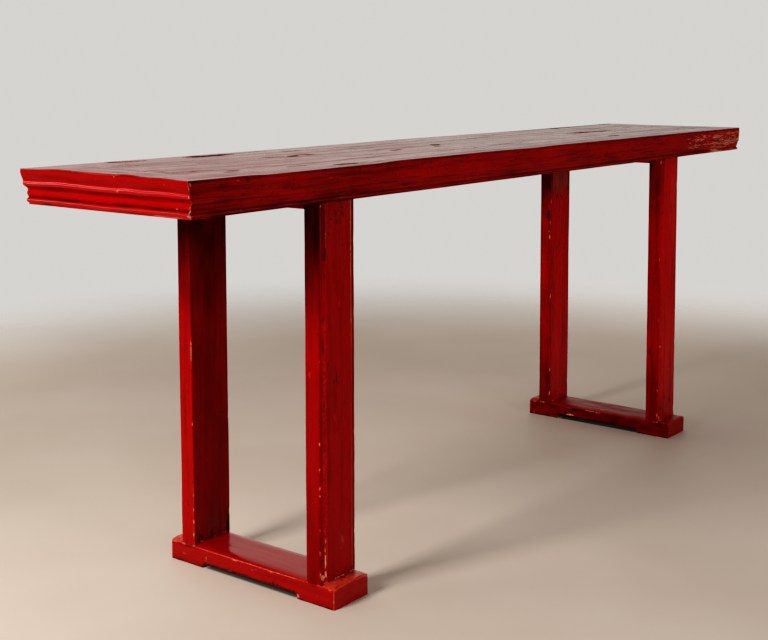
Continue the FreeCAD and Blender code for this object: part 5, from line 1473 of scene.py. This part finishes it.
wc = wnode("ShaderNodeTexCoord")
toward = Vector((0.45, 0.89, 0.16)).normalized()      # the pale wall side of the room
dot = wnode("ShaderNodeVectorMath", operation="DOT_PRODUCT")
wt.links.new(wc.outputs["Generated"], dot.inputs[0])
dot.inputs[1].default_value = toward
wr = wnode("ShaderNodeMapRange", interpolation_type="SMOOTHSTEP", clamp=True)
wt.links.new(dot.outputs["Value"], wr.inputs["Value"])
wr.inputs["From Min"].default_value, wr.inputs["From Max"].default_value = 0.10, 0.97
wr.inputs["To Min"].default_value, wr.inputs["To Max"].default_value = 0.0, 1.0
wm = wnode("ShaderNodeMix", data_type="RGBA")
wt.links.new(wr.outputs["Result"], wm.inputs[0])
wm.inputs[6].default_value = (0.07, 0.068, 0.066, 1)
wm.inputs[7].default_value = (0.75, 0.72, 0.665, 1)
lp = wnode("ShaderNodeLightPath")
wm2 = wnode("ShaderNodeMix", data_type="RGBA")
wt.links.new(lp.outputs["Is Camera Ray"], wm2.inputs[0])
wt.links.new(wm.outputs[2], wm2.inputs[6])
wm2.inputs[7].default_value = (*BACK, 1)
bg = wnode("ShaderNodeBackground")
wt.links.new(wm2.outputs[2], bg.inputs["Color"])
bg.inputs["Strength"].default_value = 1.0
wo = wnode("ShaderNodeOutputWorld")
wt.links.new(bg.outputs[0], wo.inputs["Surface"])


def softbox(name, where, at, size, size_y, power, colour=(1, 1, 1)):
    d = bpy.data.lights.new(name, "AREA")
    d.shape = "RECTANGLE"
    d.size, d.size_y, d.energy, d.color = size, size_y, power, colour
    o = bpy.data.objects.new(name, d)
    scene.collection.objects.link(o)
    o.location = where
    o.rotation_euler = (Vector(at) - Vector(where)).to_track_quat("-Z", "Y").to_euler()
    o.visible_camera = False
    return o


softbox("key", (-3.2, 0.35, 1.85), (-0.8, 0.0, 0.50), 0.8, 1.05, 108)
softbox("front", (-0.75, -4.0, 1.30), (-0.2, 0.0, 0.45), 1.5, 1.5, 47)
softbox("front_far", (2.2, -3.9, 1.20), (0.3, 0.0, 0.45), 1.6, 1.4, 27)
softbox("low_near", (-3.4, -3.5, 1.25), (0.0, 0.0, 0.42), 1.4, 1.2, 48)
softbox("edge", (-2.75, 1.95, 1.16), (-1.13, 0.0, 0.83), 1.2, 0.40, 14.0)
# low fills for the sides away from the key, under the height of the top
softbox("fill_right", (3.9, 1.0, 0.46), (1.0, 0.0, 0.50), 1.7, 0.7, 46).visible_glossy = False
softbox("fill_back", (-0.2, 3.7, 0.46), (0.0, 0.0, 0.50), 2.6, 0.7, 50).visible_glossy = False

# ---------------------------------------------------------------- camera
cam = bpy.data.cameras.new("camera")
cam.sensor_width = 36.0
cam.lens = 1300.1 / 768 * 36
cam.shift_y = -0.18
cam.clip_start, cam.clip_end = 0.05, 100
co_ = bpy.data.objects.new("camera", cam)
scene.collection.objects.link(co_)
yaw, pitch, roll = (math.radians(v) for v in (52.346, 5.088, -0.10))
fw = Vector((math.cos(pitch) * math.sin(yaw), math.cos(pitch) * math.cos(yaw), -math.sin(pitch)))
right = Vector((math.cos(yaw), -math.sin(yaw), 0))
up = right.cross(fw)
r2, u2 = right * math.cos(roll) + up * math.sin(roll), up * math.cos(roll) - right * math.sin(roll)
co_.matrix_world = Matrix(((r2.x, u2.x, -fw.x, -2.6176), (r2.y, u2.y, -fw.y, -1.7656), (r2.z, u2.z, -fw.z, 1.0362), (0, 0, 0, 1)))
scene.camera = co_
scene.view_settings.view_transform = "Standard"
scene.view_settings.look = "None"
scene.view_settings.use_curve_mapping = True
tone_curve = scene.view_settings.curve_mapping
for x, y in ((0.03, 0.014), (0.10, 0.082), (0.28, 0.29), (0.62, 0.66)):
    tone_curve.curves[3].points.new(x, y)
tone_curve.update()
